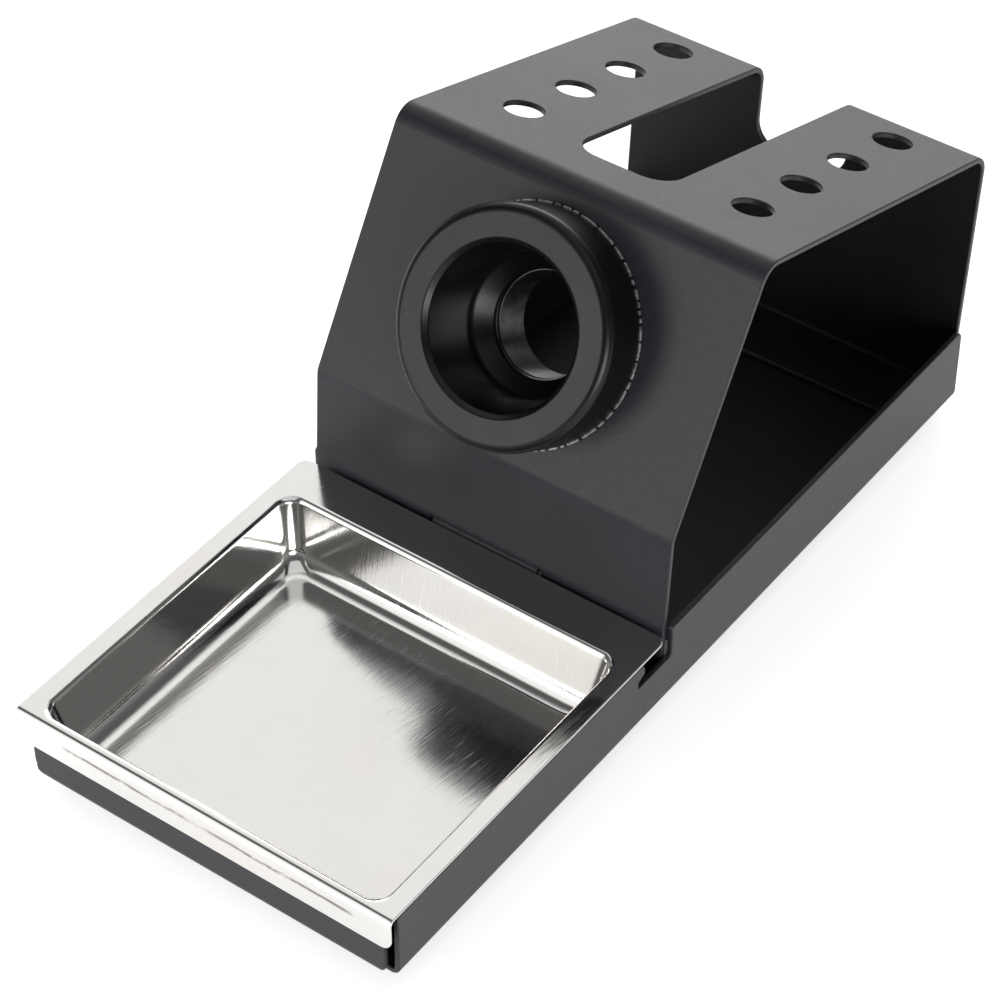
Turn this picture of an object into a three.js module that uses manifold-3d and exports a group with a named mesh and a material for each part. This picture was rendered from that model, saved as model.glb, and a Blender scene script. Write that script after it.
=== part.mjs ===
// Soldering iron stand: a folded sheet-metal base pan, a bridge bent from one sheet that carries the
// iron holder and the spare-tip rack, and a loose drip tray that drops into the front of the pan.
//
// Millimetres, +Z up. While the parts are drawn, X runs across the stand with 0 in the middle,
// Y runs from the front wall (0) to the back, and Z is 0 at the underside of the base pan.
// The finished group is moved so that its origin is on the table, under the middle of the stand.

import * as THREE from 'three';
import { mergeVertices } from 'three/addons/utils/BufferGeometryUtils.js';
import Module from 'manifold-3d';

// ---------------------------------------------------------------- driving dimensions

const BASE_WIDTH = 80;            // over the side walls
const BASE_LENGTH = 180.5;        // front wall to back edge
const STAND_HEIGHT = 80.2;        // base underside to the crest, before the bend is rounded

const SHEET = 1.1;                // steel sheet of the base and the bridge
const PAN_BEND = 2;               // outside bend radius of the base pan
const BRIDGE_BEND = 4.6;          // outside bend radius of the bridge's panels
const FLANGE_BEND = 1.8;          // outside bend radius of its floor flanges

const WALL_HEIGHT = 17;           // side walls beside the bridge
const FRONT_WALL_HEIGHT = 12.4;   // front wall, hidden behind the tray's lip
const NOTCH_FLOOR = 10.2;         // bottom of the notch between low and high side wall
const NOTCH_START = 6.3;          // low wall's end, in front of the tray's back edge
const NOTCH_WIDTH = 8.3;          // from the low wall's end to the high wall's start
const RELIEF_REACH = 1.9;         // relief cut into the foot of the low wall's end
const RELIEF_HEIGHT = 1.5;
const CORNER_RELIEF = 1.5;        // open corner between the front wall and a side wall
const FRONT_WALL_INSET = 1.85;    // front wall's end, in from the side wall's outer face
const WALL_CORNER = 1.6;          // rounded top corners of the side walls
const SMALL_CORNER = 0.8;         // rounded corners elsewhere on the sheet's outline

const TRAY_LENGTH = 79.5;         // front lip to back edge
const TRAY_OVERHANG = 0.5;        // side flanges, out past the side walls
const TRAY_WIDTH = BASE_WIDTH + 2 * TRAY_OVERHANG;
const TRAY_SHEET = 0.5;           // aluminium sheet of the tray
const TRAY_TOP = 15.75;           // upper face of the tray's flange
const TRAY_SHIFT = -0.4;          // the loose tray lies a little to the left
const LIP_HEIGHT = 7.15;          // folded front lip, flange top to lower edge
const WELL_SIDE_FLANGE = 4;       // flange beside the well
const WELL_WIDTH = TRAY_WIDTH - 2 * WELL_SIDE_FLANGE;
const WELL_BACK_FLANGE = 9.5;     // flange behind the well
const WELL_FLOOR = 2.2;           // upper face of the well's floor
const WELL_DRAFT = 10;            // lean of the well's walls, degrees

const KNEE_HEIGHT = 36.4;         // where the bridge's foot panel turns into the slope
const SLOPE_ANGLE = 58.8;         // slope panel, degrees above the table
const RACK_FALL = 17.3;           // top plate's fall towards the back, degrees
const PANEL_LEAN = 4;             // foot and back panels lean back, degrees
const BRIDGE_FLANGE = 14.6;       // floor flanges of the bridge, from the panel's outer face
const BRIDGE_SIDE_GAP = 0.15;     // bridge's edge to the side wall, on each side
const FLANGE_SIDE_GAP = 0.4;      // floor flange's end to the pan's bend, on each side
const BACK_OVERHANG = 0.2;        // back panel's foot, behind the pan's back edge
const FOOT_GAP = 0.9;             // tray's back edge to the foot panel

const TONGUE_WIDTH = 23.2;        // lanced tongue that carries the tray's back flange
const TONGUE_REACH = 6;           // how far it stands out from the foot panel
const TONGUE_RELIEF = 0.8;        // slit beside the tongue

const SLOT_WIDTH = 20;            // long slot in the rack
const SLOT_START = 12.4;          // from the crest, along the top plate
const SLOT_DROP = 17.5;           // how far it runs down the back panel
const SLOT_CORNER = 5.5;          // its corner radius
const TIP_HOLE_DIAMETER = 8;      // holes for spare soldering tips
const TIP_HOLE_COUNT = 4;         // on each side of the slot
const TIP_HOLE_START = 18.5;      // first hole from the crest, along the top plate
const TIP_HOLE_PITCH = 17;
const TIP_ROW_SPACING = 48.8;     // from the left row to the right row

const HOLDER_HEIGHT_ON_SLOPE = 24.5;  // holder's axis, from the knee up the slope
const HOLDER_DIAMETER = 43.4;         // front ring
const HOLDER_REACH = 11.3;            // front ring, out from the slope panel
const HOLDER_SHOULDER = 1.8;          // rounded outer edge of the front ring
const MOUTH_DIAMETER = 29.6;          // where the iron goes in
const MOUTH_CHAMFER = 1;              // bevel round the mouth
const THROAT_DIAMETER = 26.4;         // the wide bore's inner end
const THROAT_DEPTH = 0.8;             // that end, behind the panel's outer face
const BODY_DIAMETER = 34.4;           // threaded body behind the ring
const SLEEVE_BORE = 19;               // steel sleeve that carries the iron's barrel
const SLEEVE_WALL = 0.6;
const SLEEVE_LENGTH = 8.7;
const SLEEVE_START = 5.1;             // sleeve's front end, behind the panel's outer face
const SLEEVE_RIM = 1.4;               // flared rim at its back end
const NUT_WALL = 4;                   // ring nut round the body, behind the panel
const NUT_NOTCHES = 6;

const RIVET_SHANK = 3;
const RIVET_HEAD = 5.6;
const RIVET_TAIL = 4.6;
const RIVET_EDGE = 5;             // rivet axis, in from the side wall's outer face
const RIVET_PLACE = 0.6;          // share of the flange's length, from the panel
const FOOT_DIAMETER = 12;         // rubber bumpers under the base
const FOOT_HEIGHT = 3;
const FOOT_INSET_X = 14;          // bumper axis, in from the sides
const FOOT_INSET_Y = 14;          // bumper axis, in from the front and back

const FIT = 0.2;                  // gap between pieces that rest on each other
const TURNED_FIT = 0.3;           // the same for pieces on the sloping panel
const LIP_FIT = 0.25;             // tray's lip to the front wall

// ---------------------------------------------------------------- colours

const COATED_STEEL = { color: 0x2c2c2f, roughness: 0.45, metalness: 0.3 };
const BRIGHT_ALUMINIUM = { color: 0xd8d8d6, roughness: 0.2, metalness: 1 };
const MOULDED_PLASTIC = { color: 0x222225, roughness: 0.5, metalness: 0 };
const BARE_STEEL = { color: 0x9a9a98, roughness: 0.35, metalness: 1 };
const RUBBER = { color: 0x141414, roughness: 0.85, metalness: 0 };

// ---------------------------------------------------------------- geometry helpers

const ARC_STEP = 20 * Math.PI / 180;
const OVERCUT = 1;                // how far a cutter runs past the face it cuts
const wasm = await Module();
wasm.setup();

const radians = (degrees) => degrees * Math.PI / 180;
const direction = (degrees) => new THREE.Vector2(Math.cos(radians(degrees)), Math.sin(radians(degrees)));
const corner = (x, y, radius = 0) => ({ at: new THREE.Vector2(x, y), radius });

/** Points of a path whose corners are rounded by their own radius. */
function roundPath(corners, closed) {
  const points = [];
  corners.forEach((here, i) => {
    const isEnd = !closed && (i === 0 || i === corners.length - 1);
    if (isEnd || here.radius <= 0) {
      points.push(here.at.clone());
      return;
    }
    const before = corners.at(i - 1).at;
    const after = corners[(i + 1) % corners.length].at;
    const arriving = here.at.clone().sub(before).normalize();
    const leaving = after.clone().sub(here.at).normalize();
    const turn = Math.atan2(arriving.cross(leaving), arriving.dot(leaving));
    const side = Math.sign(turn);
    const setback = here.radius * Math.tan(Math.abs(turn) / 2);
    const start = here.at.clone().addScaledVector(arriving, -setback);
    const toCentre = new THREE.Vector2(-arriving.y, arriving.x).multiplyScalar(side * here.radius);
    const centre = start.clone().add(toCentre);
    const steps = Math.max(2, Math.ceil(Math.abs(turn) / ARC_STEP));
    for (let k = 0; k <= steps; k++) {
      points.push(start.clone().rotateAround(centre, turn * k / steps));
    }
  });
  return points;
}

/** The same path moved sideways, with its corner radii grown or shrunk to match. */
function offsetPath(corners, distance) {
  const headings = corners.slice(1).map((next, i) => next.at.clone().sub(corners[i].at).normalize());
  return corners.map((here, i) => {
    const arriving = headings[Math.max(i - 1, 0)];
    const leaving = headings[Math.min(i, headings.length - 1)];
    const turn = Math.atan2(arriving.cross(leaving), arriving.dot(leaving));
    const rightOf = new THREE.Vector2(arriving.y, -arriving.x).multiplyScalar(distance);
    const along = arriving.clone().multiplyScalar(-distance * Math.tan(turn / 2));
    const radius = here.radius > 0 ? here.radius + Math.sign(turn) * distance : 0;
    return { at: here.at.clone().add(rightOf).add(along.negate()), radius };
  });
}

/** Closed outline of a bent sheet: a path, and the same path one thickness to its right. */
function sheetOutline(corners, thickness) {
  const face = roundPath(corners, false);
  const back = roundPath(offsetPath(corners, thickness), false);
  return [...face, ...back.reverse()];
}

function toSolid(geometry) {
  const bare = geometry.clone();
  bare.deleteAttribute('normal');
  bare.deleteAttribute('uv');
  const merged = mergeVertices(bare, 1e-5);
  return new wasm.Manifold(new wasm.Mesh({
    numProp: 3,
    vertProperties: Float32Array.from(merged.attributes.position.array),
    triVerts: Uint32Array.from(merged.index.array),
  }));
}

function toGeometry(solid) {
  const mesh = solid.getMesh();
  const geometry = new THREE.BufferGeometry();
  geometry.setAttribute('position', new THREE.BufferAttribute(mesh.vertProperties, mesh.numProp));
  geometry.setIndex(new THREE.BufferAttribute(mesh.triVerts, 1));
  return geometry;
}

function extrude(points, depth) {
  return new THREE.ExtrudeGeometry(new THREE.Shape(points), { depth, bevelEnabled: false, steps: 1 });
}

const X = new THREE.Vector3(1, 0, 0);
const Y = new THREE.Vector3(0, 1, 0);
const Z = new THREE.Vector3(0, 0, 1);

/** Prism across the stand: the outline holds (Y, Z) pairs. */
function prismX(points, from, to) {
  const axes = new THREE.Matrix4().makeBasis(Y, Z, X);
  return toSolid(extrude(points, to - from).applyMatrix4(axes).translate(from, 0, 0));
}

/** Prism from front to back: the outline holds (X, Z) pairs. */
function prismY(points, from, to) {
  const axes = new THREE.Matrix4().makeBasis(X, Z, Y.clone().negate());
  return toSolid(extrude(points, to - from).applyMatrix4(axes).translate(0, to, 0));
}

/** Prism along the normal of a panel's frame: the outline holds (X, up the panel) pairs. */
function prismOnPanel(points, from, to, panel) {
  return toSolid(extrude(points, to - from).translate(0, 0, from).applyMatrix4(panel));
}

function box(x0, y0, z0, x1, y1, z1) {
  const block = new THREE.BoxGeometry(x1 - x0, y1 - y0, z1 - z0);
  return toSolid(block.translate((x0 + x1) / 2, (y0 + y1) / 2, (z0 + z1) / 2));
}

/** Upright cylinder, used as a drill. */
function drill(x, y, z0, z1, radius) {
  const rod = new THREE.CylinderGeometry(radius, radius, z1 - z0, 24);
  return toSolid(rod.rotateX(Math.PI / 2).translate(x, y, (z0 + z1) / 2));
}

/** Solid of revolution from a closed outline of (radius, height) pairs, turned about +Y. */
function turned(outline, segments) {
  return new THREE.LatheGeometry([...outline, outline[0].clone()], segments);
}

function named(name, geometry, look) {
  const mesh = new THREE.Mesh(geometry, new THREE.MeshStandardMaterial(look));
  mesh.name = name;
  return mesh;
}

// ---------------------------------------------------------------- sizes that follow

const HALF_WIDTH = BASE_WIDTH / 2;
const INNER_HALF = HALF_WIDTH - SHEET;
const LOW_WALL_TOP = TRAY_TOP - TRAY_SHEET - FIT;
const TRAY_FRONT = -(TRAY_SHEET + LIP_FIT);
const TRAY_BACK = TRAY_FRONT + TRAY_LENGTH;
const FLOOR_TOP = SHEET + FIT / 2;                       // what lies on the pan's floor starts here

const LEAN = Math.tan(radians(PANEL_LEAN));
const FOOT_Y = TRAY_BACK + FOOT_GAP - TRAY_TOP * LEAN;   // foot panel's outer face at Z 0
const KNEE = new THREE.Vector2(FOOT_Y + KNEE_HEIGHT * LEAN, KNEE_HEIGHT);
const CREST = KNEE.clone().addScaledVector(
  direction(SLOPE_ANGLE), (STAND_HEIGHT - KNEE_HEIGHT) / Math.sin(radians(SLOPE_ANGLE)));
const BACK_Y = BASE_LENGTH + BACK_OVERHANG;              // back panel's outer face at Z 0
const FALL = Math.tan(radians(RACK_FALL));
const BACK_CORNER_Z = (CREST.y - FALL * (BACK_Y - CREST.x)) / (1 + FALL * LEAN);
const BACK_CORNER = new THREE.Vector2(BACK_Y + BACK_CORNER_Z * LEAN, BACK_CORNER_Z);

const BRIDGE_HALF = INNER_HALF - BRIDGE_SIDE_GAP;
const FLANGE_HALF = HALF_WIDTH - PAN_BEND - FLANGE_SIDE_GAP;
const LOW_WALL_END = TRAY_BACK - NOTCH_START;
const HIGH_WALL_START = LOW_WALL_END + NOTCH_WIDTH;

/** Frame of a bridge panel: X across, Y up or along the sheet, Z out of its outer face. */
function panelFrame(origin, degrees) {
  const along = new THREE.Vector3(0, ...direction(degrees).toArray());
  const out = new THREE.Vector3().crossVectors(X, along);
  return new THREE.Matrix4().makeBasis(X, along, out).setPosition(0, origin.x, origin.y);
}

const SLOPE_FRAME = panelFrame(KNEE, SLOPE_ANGLE);
const RACK_FRAME = panelFrame(CREST, -RACK_FALL);
const BACK_FRAME = panelFrame(BACK_CORNER, -90 - PANEL_LEAN);

const rivetPlaces = [];
for (const y of [FOOT_Y + BRIDGE_FLANGE * RIVET_PLACE, BACK_Y - BRIDGE_FLANGE * RIVET_PLACE]) {
  for (const side of [-1, 1]) {
    rivetPlaces.push({ x: side * (HALF_WIDTH - RIVET_EDGE), y });
  }
}

// ---------------------------------------------------------------- base pan

/** Floor and both side walls as one channel, cut to the walls' stepped outline. */
function panChannel() {
  const section = sheetOutline([
    corner(-HALF_WIDTH, WALL_HEIGHT),
    corner(-HALF_WIDTH, 0, PAN_BEND),
    corner(HALF_WIDTH, 0, PAN_BEND),
    corner(HALF_WIDTH, WALL_HEIGHT),
  ], -SHEET);
  const sideView = roundPath([
    corner(CORNER_RELIEF, -OVERCUT),
    corner(CORNER_RELIEF, LOW_WALL_TOP, SMALL_CORNER),
    corner(LOW_WALL_END, LOW_WALL_TOP, WALL_CORNER),
    corner(LOW_WALL_END, NOTCH_FLOOR + RELIEF_HEIGHT + SMALL_CORNER),
    corner(LOW_WALL_END - RELIEF_REACH, NOTCH_FLOOR + RELIEF_HEIGHT),
    corner(LOW_WALL_END - RELIEF_REACH, NOTCH_FLOOR),
    corner(HIGH_WALL_START, NOTCH_FLOOR, SMALL_CORNER),
    corner(HIGH_WALL_START, WALL_HEIGHT, SMALL_CORNER),
    corner(BASE_LENGTH, WALL_HEIGHT, WALL_CORNER),
    corner(BASE_LENGTH, -OVERCUT),
  ], true);
  const channel = prismY(section, CORNER_RELIEF, BASE_LENGTH);
  const outline = prismX(sideView.reverse(), -HALF_WIDTH - OVERCUT, HALF_WIDTH + OVERCUT);
  return channel.intersect(outline);
}

/** Front wall with its own bend, joined to the floor, its lower corners rounded. */
function panFrontWall() {
  const half = HALF_WIDTH - FRONT_WALL_INSET;
  const reach = 3 * PAN_BEND;
  const section = sheetOutline([
    corner(0, FRONT_WALL_HEIGHT),
    corner(0, 0, PAN_BEND),
    corner(reach, 0),
  ], -SHEET);
  const frontView = roundPath([
    corner(-half, 0, PAN_BEND),
    corner(half, 0, PAN_BEND),
    corner(half, FRONT_WALL_HEIGHT, SMALL_CORNER),
    corner(-half, FRONT_WALL_HEIGHT, SMALL_CORNER),
  ], true);
  const wall = prismX(section, -half, half);
  return wall.intersect(prismY(frontView, -OVERCUT, reach + OVERCUT));
}

function basePan() {
  let pan = panChannel().add(panFrontWall());
  for (const place of rivetPlaces) {
    pan = pan.subtract(drill(place.x, place.y, -OVERCUT, SHEET + OVERCUT, RIVET_SHANK / 2 + FIT));
  }
  return named('base_pan', toGeometry(pan), COATED_STEEL);
}

// ---------------------------------------------------------------- bridge

/** The whole bent sheet: floor flange, foot, slope, top plate, back panel, floor flange. */
function bridgeSheet() {
  const section = sheetOutline([
    corner(FOOT_Y + BRIDGE_FLANGE, FLOOR_TOP),
    corner(FOOT_Y + FLOOR_TOP * LEAN, FLOOR_TOP, FLANGE_BEND),
    corner(KNEE.x, KNEE.y, BRIDGE_BEND),
    corner(CREST.x, CREST.y, BRIDGE_BEND),
    corner(BACK_CORNER.x, BACK_CORNER.y, BRIDGE_BEND),
    corner(BACK_Y + FLOOR_TOP * LEAN, FLOOR_TOP, FLANGE_BEND),
    corner(BACK_Y - BRIDGE_FLANGE, FLOOR_TOP),
  ], SHEET);
  return prismX(section.reverse(), -BRIDGE_HALF, BRIDGE_HALF);
}

/** Material taken off beside both floor flanges, so that they pass the pan's bends. */
function flangeReliefs() {
  const top = FLOOR_TOP + FLANGE_BEND;
  const front = FOOT_Y - OVERCUT;
  const back = BACK_Y + BRIDGE_BEND;
  const left = box(-HALF_WIDTH, front, -OVERCUT, -FLANGE_HALF, back, top);
  return left.add(box(FLANGE_HALF, front, -OVERCUT, HALF_WIDTH, back, top));
}

/** U-shaped slot: along the top plate, round the back bend and down the back panel. */
function rackSlot() {
  const half = SLOT_WIDTH / 2;
  const rackLength = BACK_CORNER.distanceTo(CREST);
  const through = [-BRIDGE_BEND - SHEET, BRIDGE_BEND];
  const onRack = roundPath([
    corner(-half, -rackLength - BRIDGE_BEND),
    corner(half, -rackLength - BRIDGE_BEND),
    corner(half, -SLOT_START, SLOT_CORNER),
    corner(-half, -SLOT_START, SLOT_CORNER),
  ], true).map((p) => new THREE.Vector2(p.x, -p.y)).reverse();
  const onBack = roundPath([
    corner(-half, -BRIDGE_BEND),
    corner(half, -BRIDGE_BEND),
    corner(half, SLOT_DROP, SLOT_CORNER),
    corner(-half, SLOT_DROP, SLOT_CORNER),
  ], true);
  const rackCut = prismOnPanel(onRack, ...through, RACK_FRAME);
  return rackCut.add(prismOnPanel(onBack, ...through, BACK_FRAME));
}

function tipHole(x, along) {
  const rod = new THREE.CylinderGeometry(TIP_HOLE_DIAMETER / 2, TIP_HOLE_DIAMETER / 2, 4 * SHEET, 32);
  return toSolid(rod.rotateX(Math.PI / 2).translate(x, along, 0).applyMatrix4(RACK_FRAME));
}

function holderHole() {
  const radius = BODY_DIAMETER / 2 + TURNED_FIT;
  const rod = new THREE.CylinderGeometry(radius, radius, 6 * SHEET, 48);
  const place = rod.rotateX(Math.PI / 2).translate(0, HOLDER_HEIGHT_ON_SLOPE, 0);
  return toSolid(place.applyMatrix4(SLOPE_FRAME));
}

/** Window left in the foot panel where the tongue was lanced and bent forward. */
function tongueWindow() {
  const half = TONGUE_WIDTH / 2 + TONGUE_RELIEF;
  const bottom = LOW_WALL_TOP - SHEET - TONGUE_REACH;
  const top = LOW_WALL_TOP + SHEET;
  return box(-half, FOOT_Y - OVERCUT, bottom, half, FOOT_Y + 3 * SHEET + top * LEAN, top);
}

/** Tongue: comes down with the foot panel, then turns forward under the tray's flange. */
function trayTongue() {
  const faceAt = (z) => FOOT_Y + z * LEAN;
  const rootTop = LOW_WALL_TOP + 3 * SHEET;
  const section = sheetOutline([
    corner(faceAt(rootTop), rootTop),
    corner(faceAt(LOW_WALL_TOP), LOW_WALL_TOP, SHEET),
    corner(faceAt(LOW_WALL_TOP) - TONGUE_REACH, LOW_WALL_TOP),
  ], -SHEET);
  return prismX(section, -TONGUE_WIDTH / 2, TONGUE_WIDTH / 2);
}

function bridge() {
  let sheet = bridgeSheet().subtract(flangeReliefs()).subtract(rackSlot()).subtract(holderHole());
  for (const side of [-1, 1]) {
    for (let k = 0; k < TIP_HOLE_COUNT; k++) {
      sheet = sheet.subtract(tipHole(side * TIP_ROW_SPACING / 2, TIP_HOLE_START + k * TIP_HOLE_PITCH));
    }
  }
  for (const place of rivetPlaces) {
    sheet = sheet.subtract(drill(place.x, place.y, 0, FLOOR_TOP + 2 * SHEET, RIVET_SHANK / 2 + FIT));
  }
  sheet = sheet.subtract(tongueWindow()).add(trayTongue());
  return named('bridge', toGeometry(sheet), COATED_STEEL);
}

// ---------------------------------------------------------------- tray

const CREST_RADIUS = 1.1;         // rounding from the flange into the well, and into the lip
const WELL_FILLET = 2.2;          // rounding from the well's walls into its floor
const WELL_CORNER = 3.4;          // the well's upright corners
const FLANGE_CORNER = 2;          // back corners of the flange
const LIP_CORNER = 2.2;           // lower corners of the lip
const JOIN = 0.1;                 // how far the lip runs into the flange, to join it
const CORNER_STEPS = 6;

/** Rounded rectangle at one height, always with the same number of points. */
function ring(half, front, back, frontRadius, backRadius, z) {
  const quarter = Math.PI / 2;
  const turns = [
    [half - backRadius, back - backRadius, backRadius, 0],
    [-half + backRadius, back - backRadius, backRadius, quarter],
    [-half + frontRadius, front + frontRadius, frontRadius, 2 * quarter],
    [half - frontRadius, front + frontRadius, frontRadius, 3 * quarter],
  ];
  return turns.flatMap(([x, y, radius, start]) => Array.from({ length: CORNER_STEPS + 1 }, (_, k) => {
    const angle = start + quarter * k / CORNER_STEPS;
    return new THREE.Vector3(x + radius * Math.cos(angle), y + radius * Math.sin(angle), z);
  }));
}

/** Closed solid through a run of rings, with a flat cap on the first and on the last. */
function loft(rings) {
  const count = rings[0].length;
  const index = [];
  for (let r = 0; r + 1 < rings.length; r++) {
    for (let k = 0; k < count; k++) {
      const a = r * count + k;
      const b = r * count + (k + 1) % count;
      index.push(a, a + count, b, b, a + count, b + count);
    }
  }
  const last = (rings.length - 1) * count;
  for (let k = 1; k + 1 < count; k++) {
    index.push(0, k, k + 1);
    index.push(last, last + k + 1, last + k);
  }
  const geometry = new THREE.BufferGeometry().setFromPoints(rings.flat());
  return geometry.setIndex(index);
}

/** Flange and well, from the middle of the well's floor over the flange's edge and back below. */
function trayDish() {
  const crestSetback = CREST_RADIUS * Math.tan(radians((90 - WELL_DRAFT) / 2));
  const wellFront = TRAY_FRONT + CREST_RADIUS + crestSetback;
  const wellBack = TRAY_BACK - WELL_BACK_FLANGE;
  const flangeFront = TRAY_FRONT + CREST_RADIUS - JOIN;
  const inset = (TRAY_TOP - WELL_FLOOR) * Math.tan(radians(WELL_DRAFT));
  const edge = 2 * CREST_RADIUS;
  const path = [
    corner(-inset - WELL_FILLET, WELL_FLOOR),
    corner(-inset, WELL_FLOOR, WELL_FILLET),
    corner(0, TRAY_TOP, CREST_RADIUS),
    corner(edge, TRAY_TOP),
  ];
  const wellRing = (p, radius) => ring(
    WELL_WIDTH / 2 + p.x, wellFront - p.x, wellBack + p.x, radius, radius, p.y,
  );
  const flangeRing = (z) => ring(TRAY_WIDTH / 2, flangeFront, TRAY_BACK, CREST_RADIUS, FLANGE_CORNER, z);
  const upperPath = roundPath(path, false).slice(0, -1);
  const lowerPath = roundPath(offsetPath(path, TRAY_SHEET), false).slice(0, -1);
  const above = upperPath.map((p) => wellRing(p, WELL_CORNER));
  const below = lowerPath.map((p) => wellRing(p, WELL_CORNER + TRAY_SHEET));
  const rings = [...above, flangeRing(TRAY_TOP), flangeRing(TRAY_TOP - TRAY_SHEET), ...below.reverse()];
  return toSolid(loft(rings));
}

/** Front lip, folded down over the base's front wall, its lower corners rounded. */
function trayLip() {
  const half = TRAY_WIDTH / 2;
  const bottom = TRAY_TOP - LIP_HEIGHT;
  const section = sheetOutline([
    corner(TRAY_FRONT, bottom),
    corner(TRAY_FRONT, TRAY_TOP, CREST_RADIUS),
    corner(TRAY_FRONT + CREST_RADIUS + JOIN / 2, TRAY_TOP),
  ], TRAY_SHEET);
  const frontView = roundPath([
    corner(-half, bottom, LIP_CORNER),
    corner(half, bottom, LIP_CORNER),
    corner(half, TRAY_TOP + OVERCUT),
    corner(-half, TRAY_TOP + OVERCUT),
  ], true);
  return prismX(section.reverse(), -half, half).intersect(prismY(frontView, -2 * OVERCUT, 2 * OVERCUT));
}

function tray() {
  const mesh = named('tray', toGeometry(trayDish().add(trayLip())), BRIGHT_ALUMINIUM);
  mesh.position.x = TRAY_SHIFT;
  return mesh;
}

// ---------------------------------------------------------------- iron holder

// Outlines are (radius, distance out from the panel's outer face) pairs. The panel fills
// the distances from -SHEET to 0.

const RING_RADIUS = HOLDER_DIAMETER / 2;
const BODY_RADIUS = BODY_DIAMETER / 2;
const MOUTH_RADIUS = MOUTH_DIAMETER / 2;
const SLEEVE_RADIUS = SLEEVE_BORE / 2 + SLEEVE_WALL;
const SLEEVE_END = SLEEVE_START + SLEEVE_LENGTH;
const BODY_END = SLEEVE_END - SLEEVE_WALL - TURNED_FIT;
const SHELF_RADIUS = SLEEVE_BORE / 2 + FIT;       // moulded shelf in front of the sleeve

/** Moulded cup: front ring, threaded body through the panel, stepped bore. */
function holderRing() {
  const outline = roundPath([
    corner(SLEEVE_RADIUS + TURNED_FIT, -BODY_END),
    corner(BODY_RADIUS, -BODY_END, SMALL_CORNER),
    corner(BODY_RADIUS, TURNED_FIT),
    corner(RING_RADIUS, TURNED_FIT, SMALL_CORNER / 2),
    corner(RING_RADIUS, HOLDER_REACH, HOLDER_SHOULDER),
    corner(MOUTH_RADIUS + MOUTH_CHAMFER, HOLDER_REACH),
    corner(MOUTH_RADIUS, HOLDER_REACH - MOUTH_CHAMFER),
    corner(THROAT_DIAMETER / 2, -THROAT_DEPTH, HOLDER_SHOULDER),
    corner(SHELF_RADIUS, -SLEEVE_START + 1),
    corner(SHELF_RADIUS, -SLEEVE_START + TURNED_FIT),
    corner(SLEEVE_RADIUS + TURNED_FIT, -SLEEVE_START + TURNED_FIT),
  ], true);
  return named('holder_ring', turned(outline, 48), MOULDED_PLASTIC);
}

/** Steel sleeve with a flared rear rim, set in the back of the cup. */
function holderSleeve() {
  const bore = SLEEVE_BORE / 2;
  const rim = SLEEVE_RADIUS + SLEEVE_RIM;
  const outline = [
    corner(bore, -SLEEVE_END),
    corner(rim, -SLEEVE_END),
    corner(rim, -SLEEVE_END + SLEEVE_WALL),
    corner(SLEEVE_RADIUS, -SLEEVE_END + SLEEVE_WALL),
    corner(SLEEVE_RADIUS, -SLEEVE_START),
    corner(bore, -SLEEVE_START),
  ].map((c) => c.at);
  return named('holder_sleeve', turned(outline, 48), BARE_STEEL);
}

/** Ring nut behind the panel, with grip notches round its back edge. */
function holderNut() {
  const inner = BODY_RADIUS + TURNED_FIT;
  const outer = BODY_RADIUS + NUT_WALL;
  const front = -SHEET - TURNED_FIT;
  const back = front - NUT_WALL;
  const outline = [
    corner(inner, back),
    corner(outer, back),
    corner(outer, front),
    corner(inner, front),
  ].map((c) => c.at);
  let nut = toSolid(turned(outline, 36));
  for (let k = 0; k < NUT_NOTCHES; k++) {
    const notch = new THREE.BoxGeometry(NUT_WALL * 0.6, NUT_WALL * 1.5, NUT_WALL * 1.25);
    notch.translate(outer, back, 0).rotateY(2 * Math.PI * k / NUT_NOTCHES);
    nut = nut.subtract(toSolid(notch));
  }
  return named('holder_nut', toGeometry(nut), MOULDED_PLASTIC);
}

function ironHolder() {
  const holder = new THREE.Group();
  holder.add(holderRing(), holderSleeve(), holderNut());
  const place = new THREE.Vector3(0, HOLDER_HEIGHT_ON_SLOPE, 0).applyMatrix4(SLOPE_FRAME);
  holder.position.copy(place);
  holder.rotation.x = radians(90 + SLOPE_ANGLE);
  return holder;
}

// ---------------------------------------------------------------- rivets and feet

/** Rivet through the pan's floor and a bridge flange: domed head inside, flat tail below. */
function rivet(name, place) {
  const head = FLOOR_TOP + SHEET + FIT / 2;
  const tail = -FIT / 2;
  const shank = RIVET_SHANK / 2;
  const thickness = RIVET_HEAD / 6;
  const outline = roundPath([
    corner(0, tail - thickness),
    corner(RIVET_TAIL / 2, tail - thickness, thickness / 3),
    corner(RIVET_TAIL / 2, tail),
    corner(shank, tail),
    corner(shank, head),
    corner(RIVET_HEAD / 2, head),
    corner(RIVET_HEAD / 2, head + thickness, thickness * 0.9),
    corner(0, head + thickness),
  ], false);
  const body = new THREE.LatheGeometry(outline, 16).rotateX(Math.PI / 2);
  const mesh = named(name, body, BARE_STEEL);
  mesh.position.set(place.x, place.y, 0);
  return mesh;
}

/** Rubber bumper under the floor, narrower at the table. */
function rubberFoot(name, x, y) {
  const radius = FOOT_DIAMETER / 2;
  const outline = roundPath([
    corner(0, -FOOT_HEIGHT),
    corner(radius - FOOT_HEIGHT / 3, -FOOT_HEIGHT, SMALL_CORNER),
    corner(radius, -FIT / 2),
    corner(0, -FIT / 2),
  ], false);
  const mesh = named(name, new THREE.LatheGeometry(outline, 24).rotateX(Math.PI / 2), RUBBER);
  mesh.position.set(x, y, 0);
  return mesh;
}

// ---------------------------------------------------------------- the stand

const stand = new THREE.Group();
stand.name = 'soldering_iron_stand';
stand.add(basePan(), bridge(), tray(), ironHolder());
rivetPlaces.forEach((place, i) => stand.add(rivet(`rivet_${i + 1}`, place)));

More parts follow.
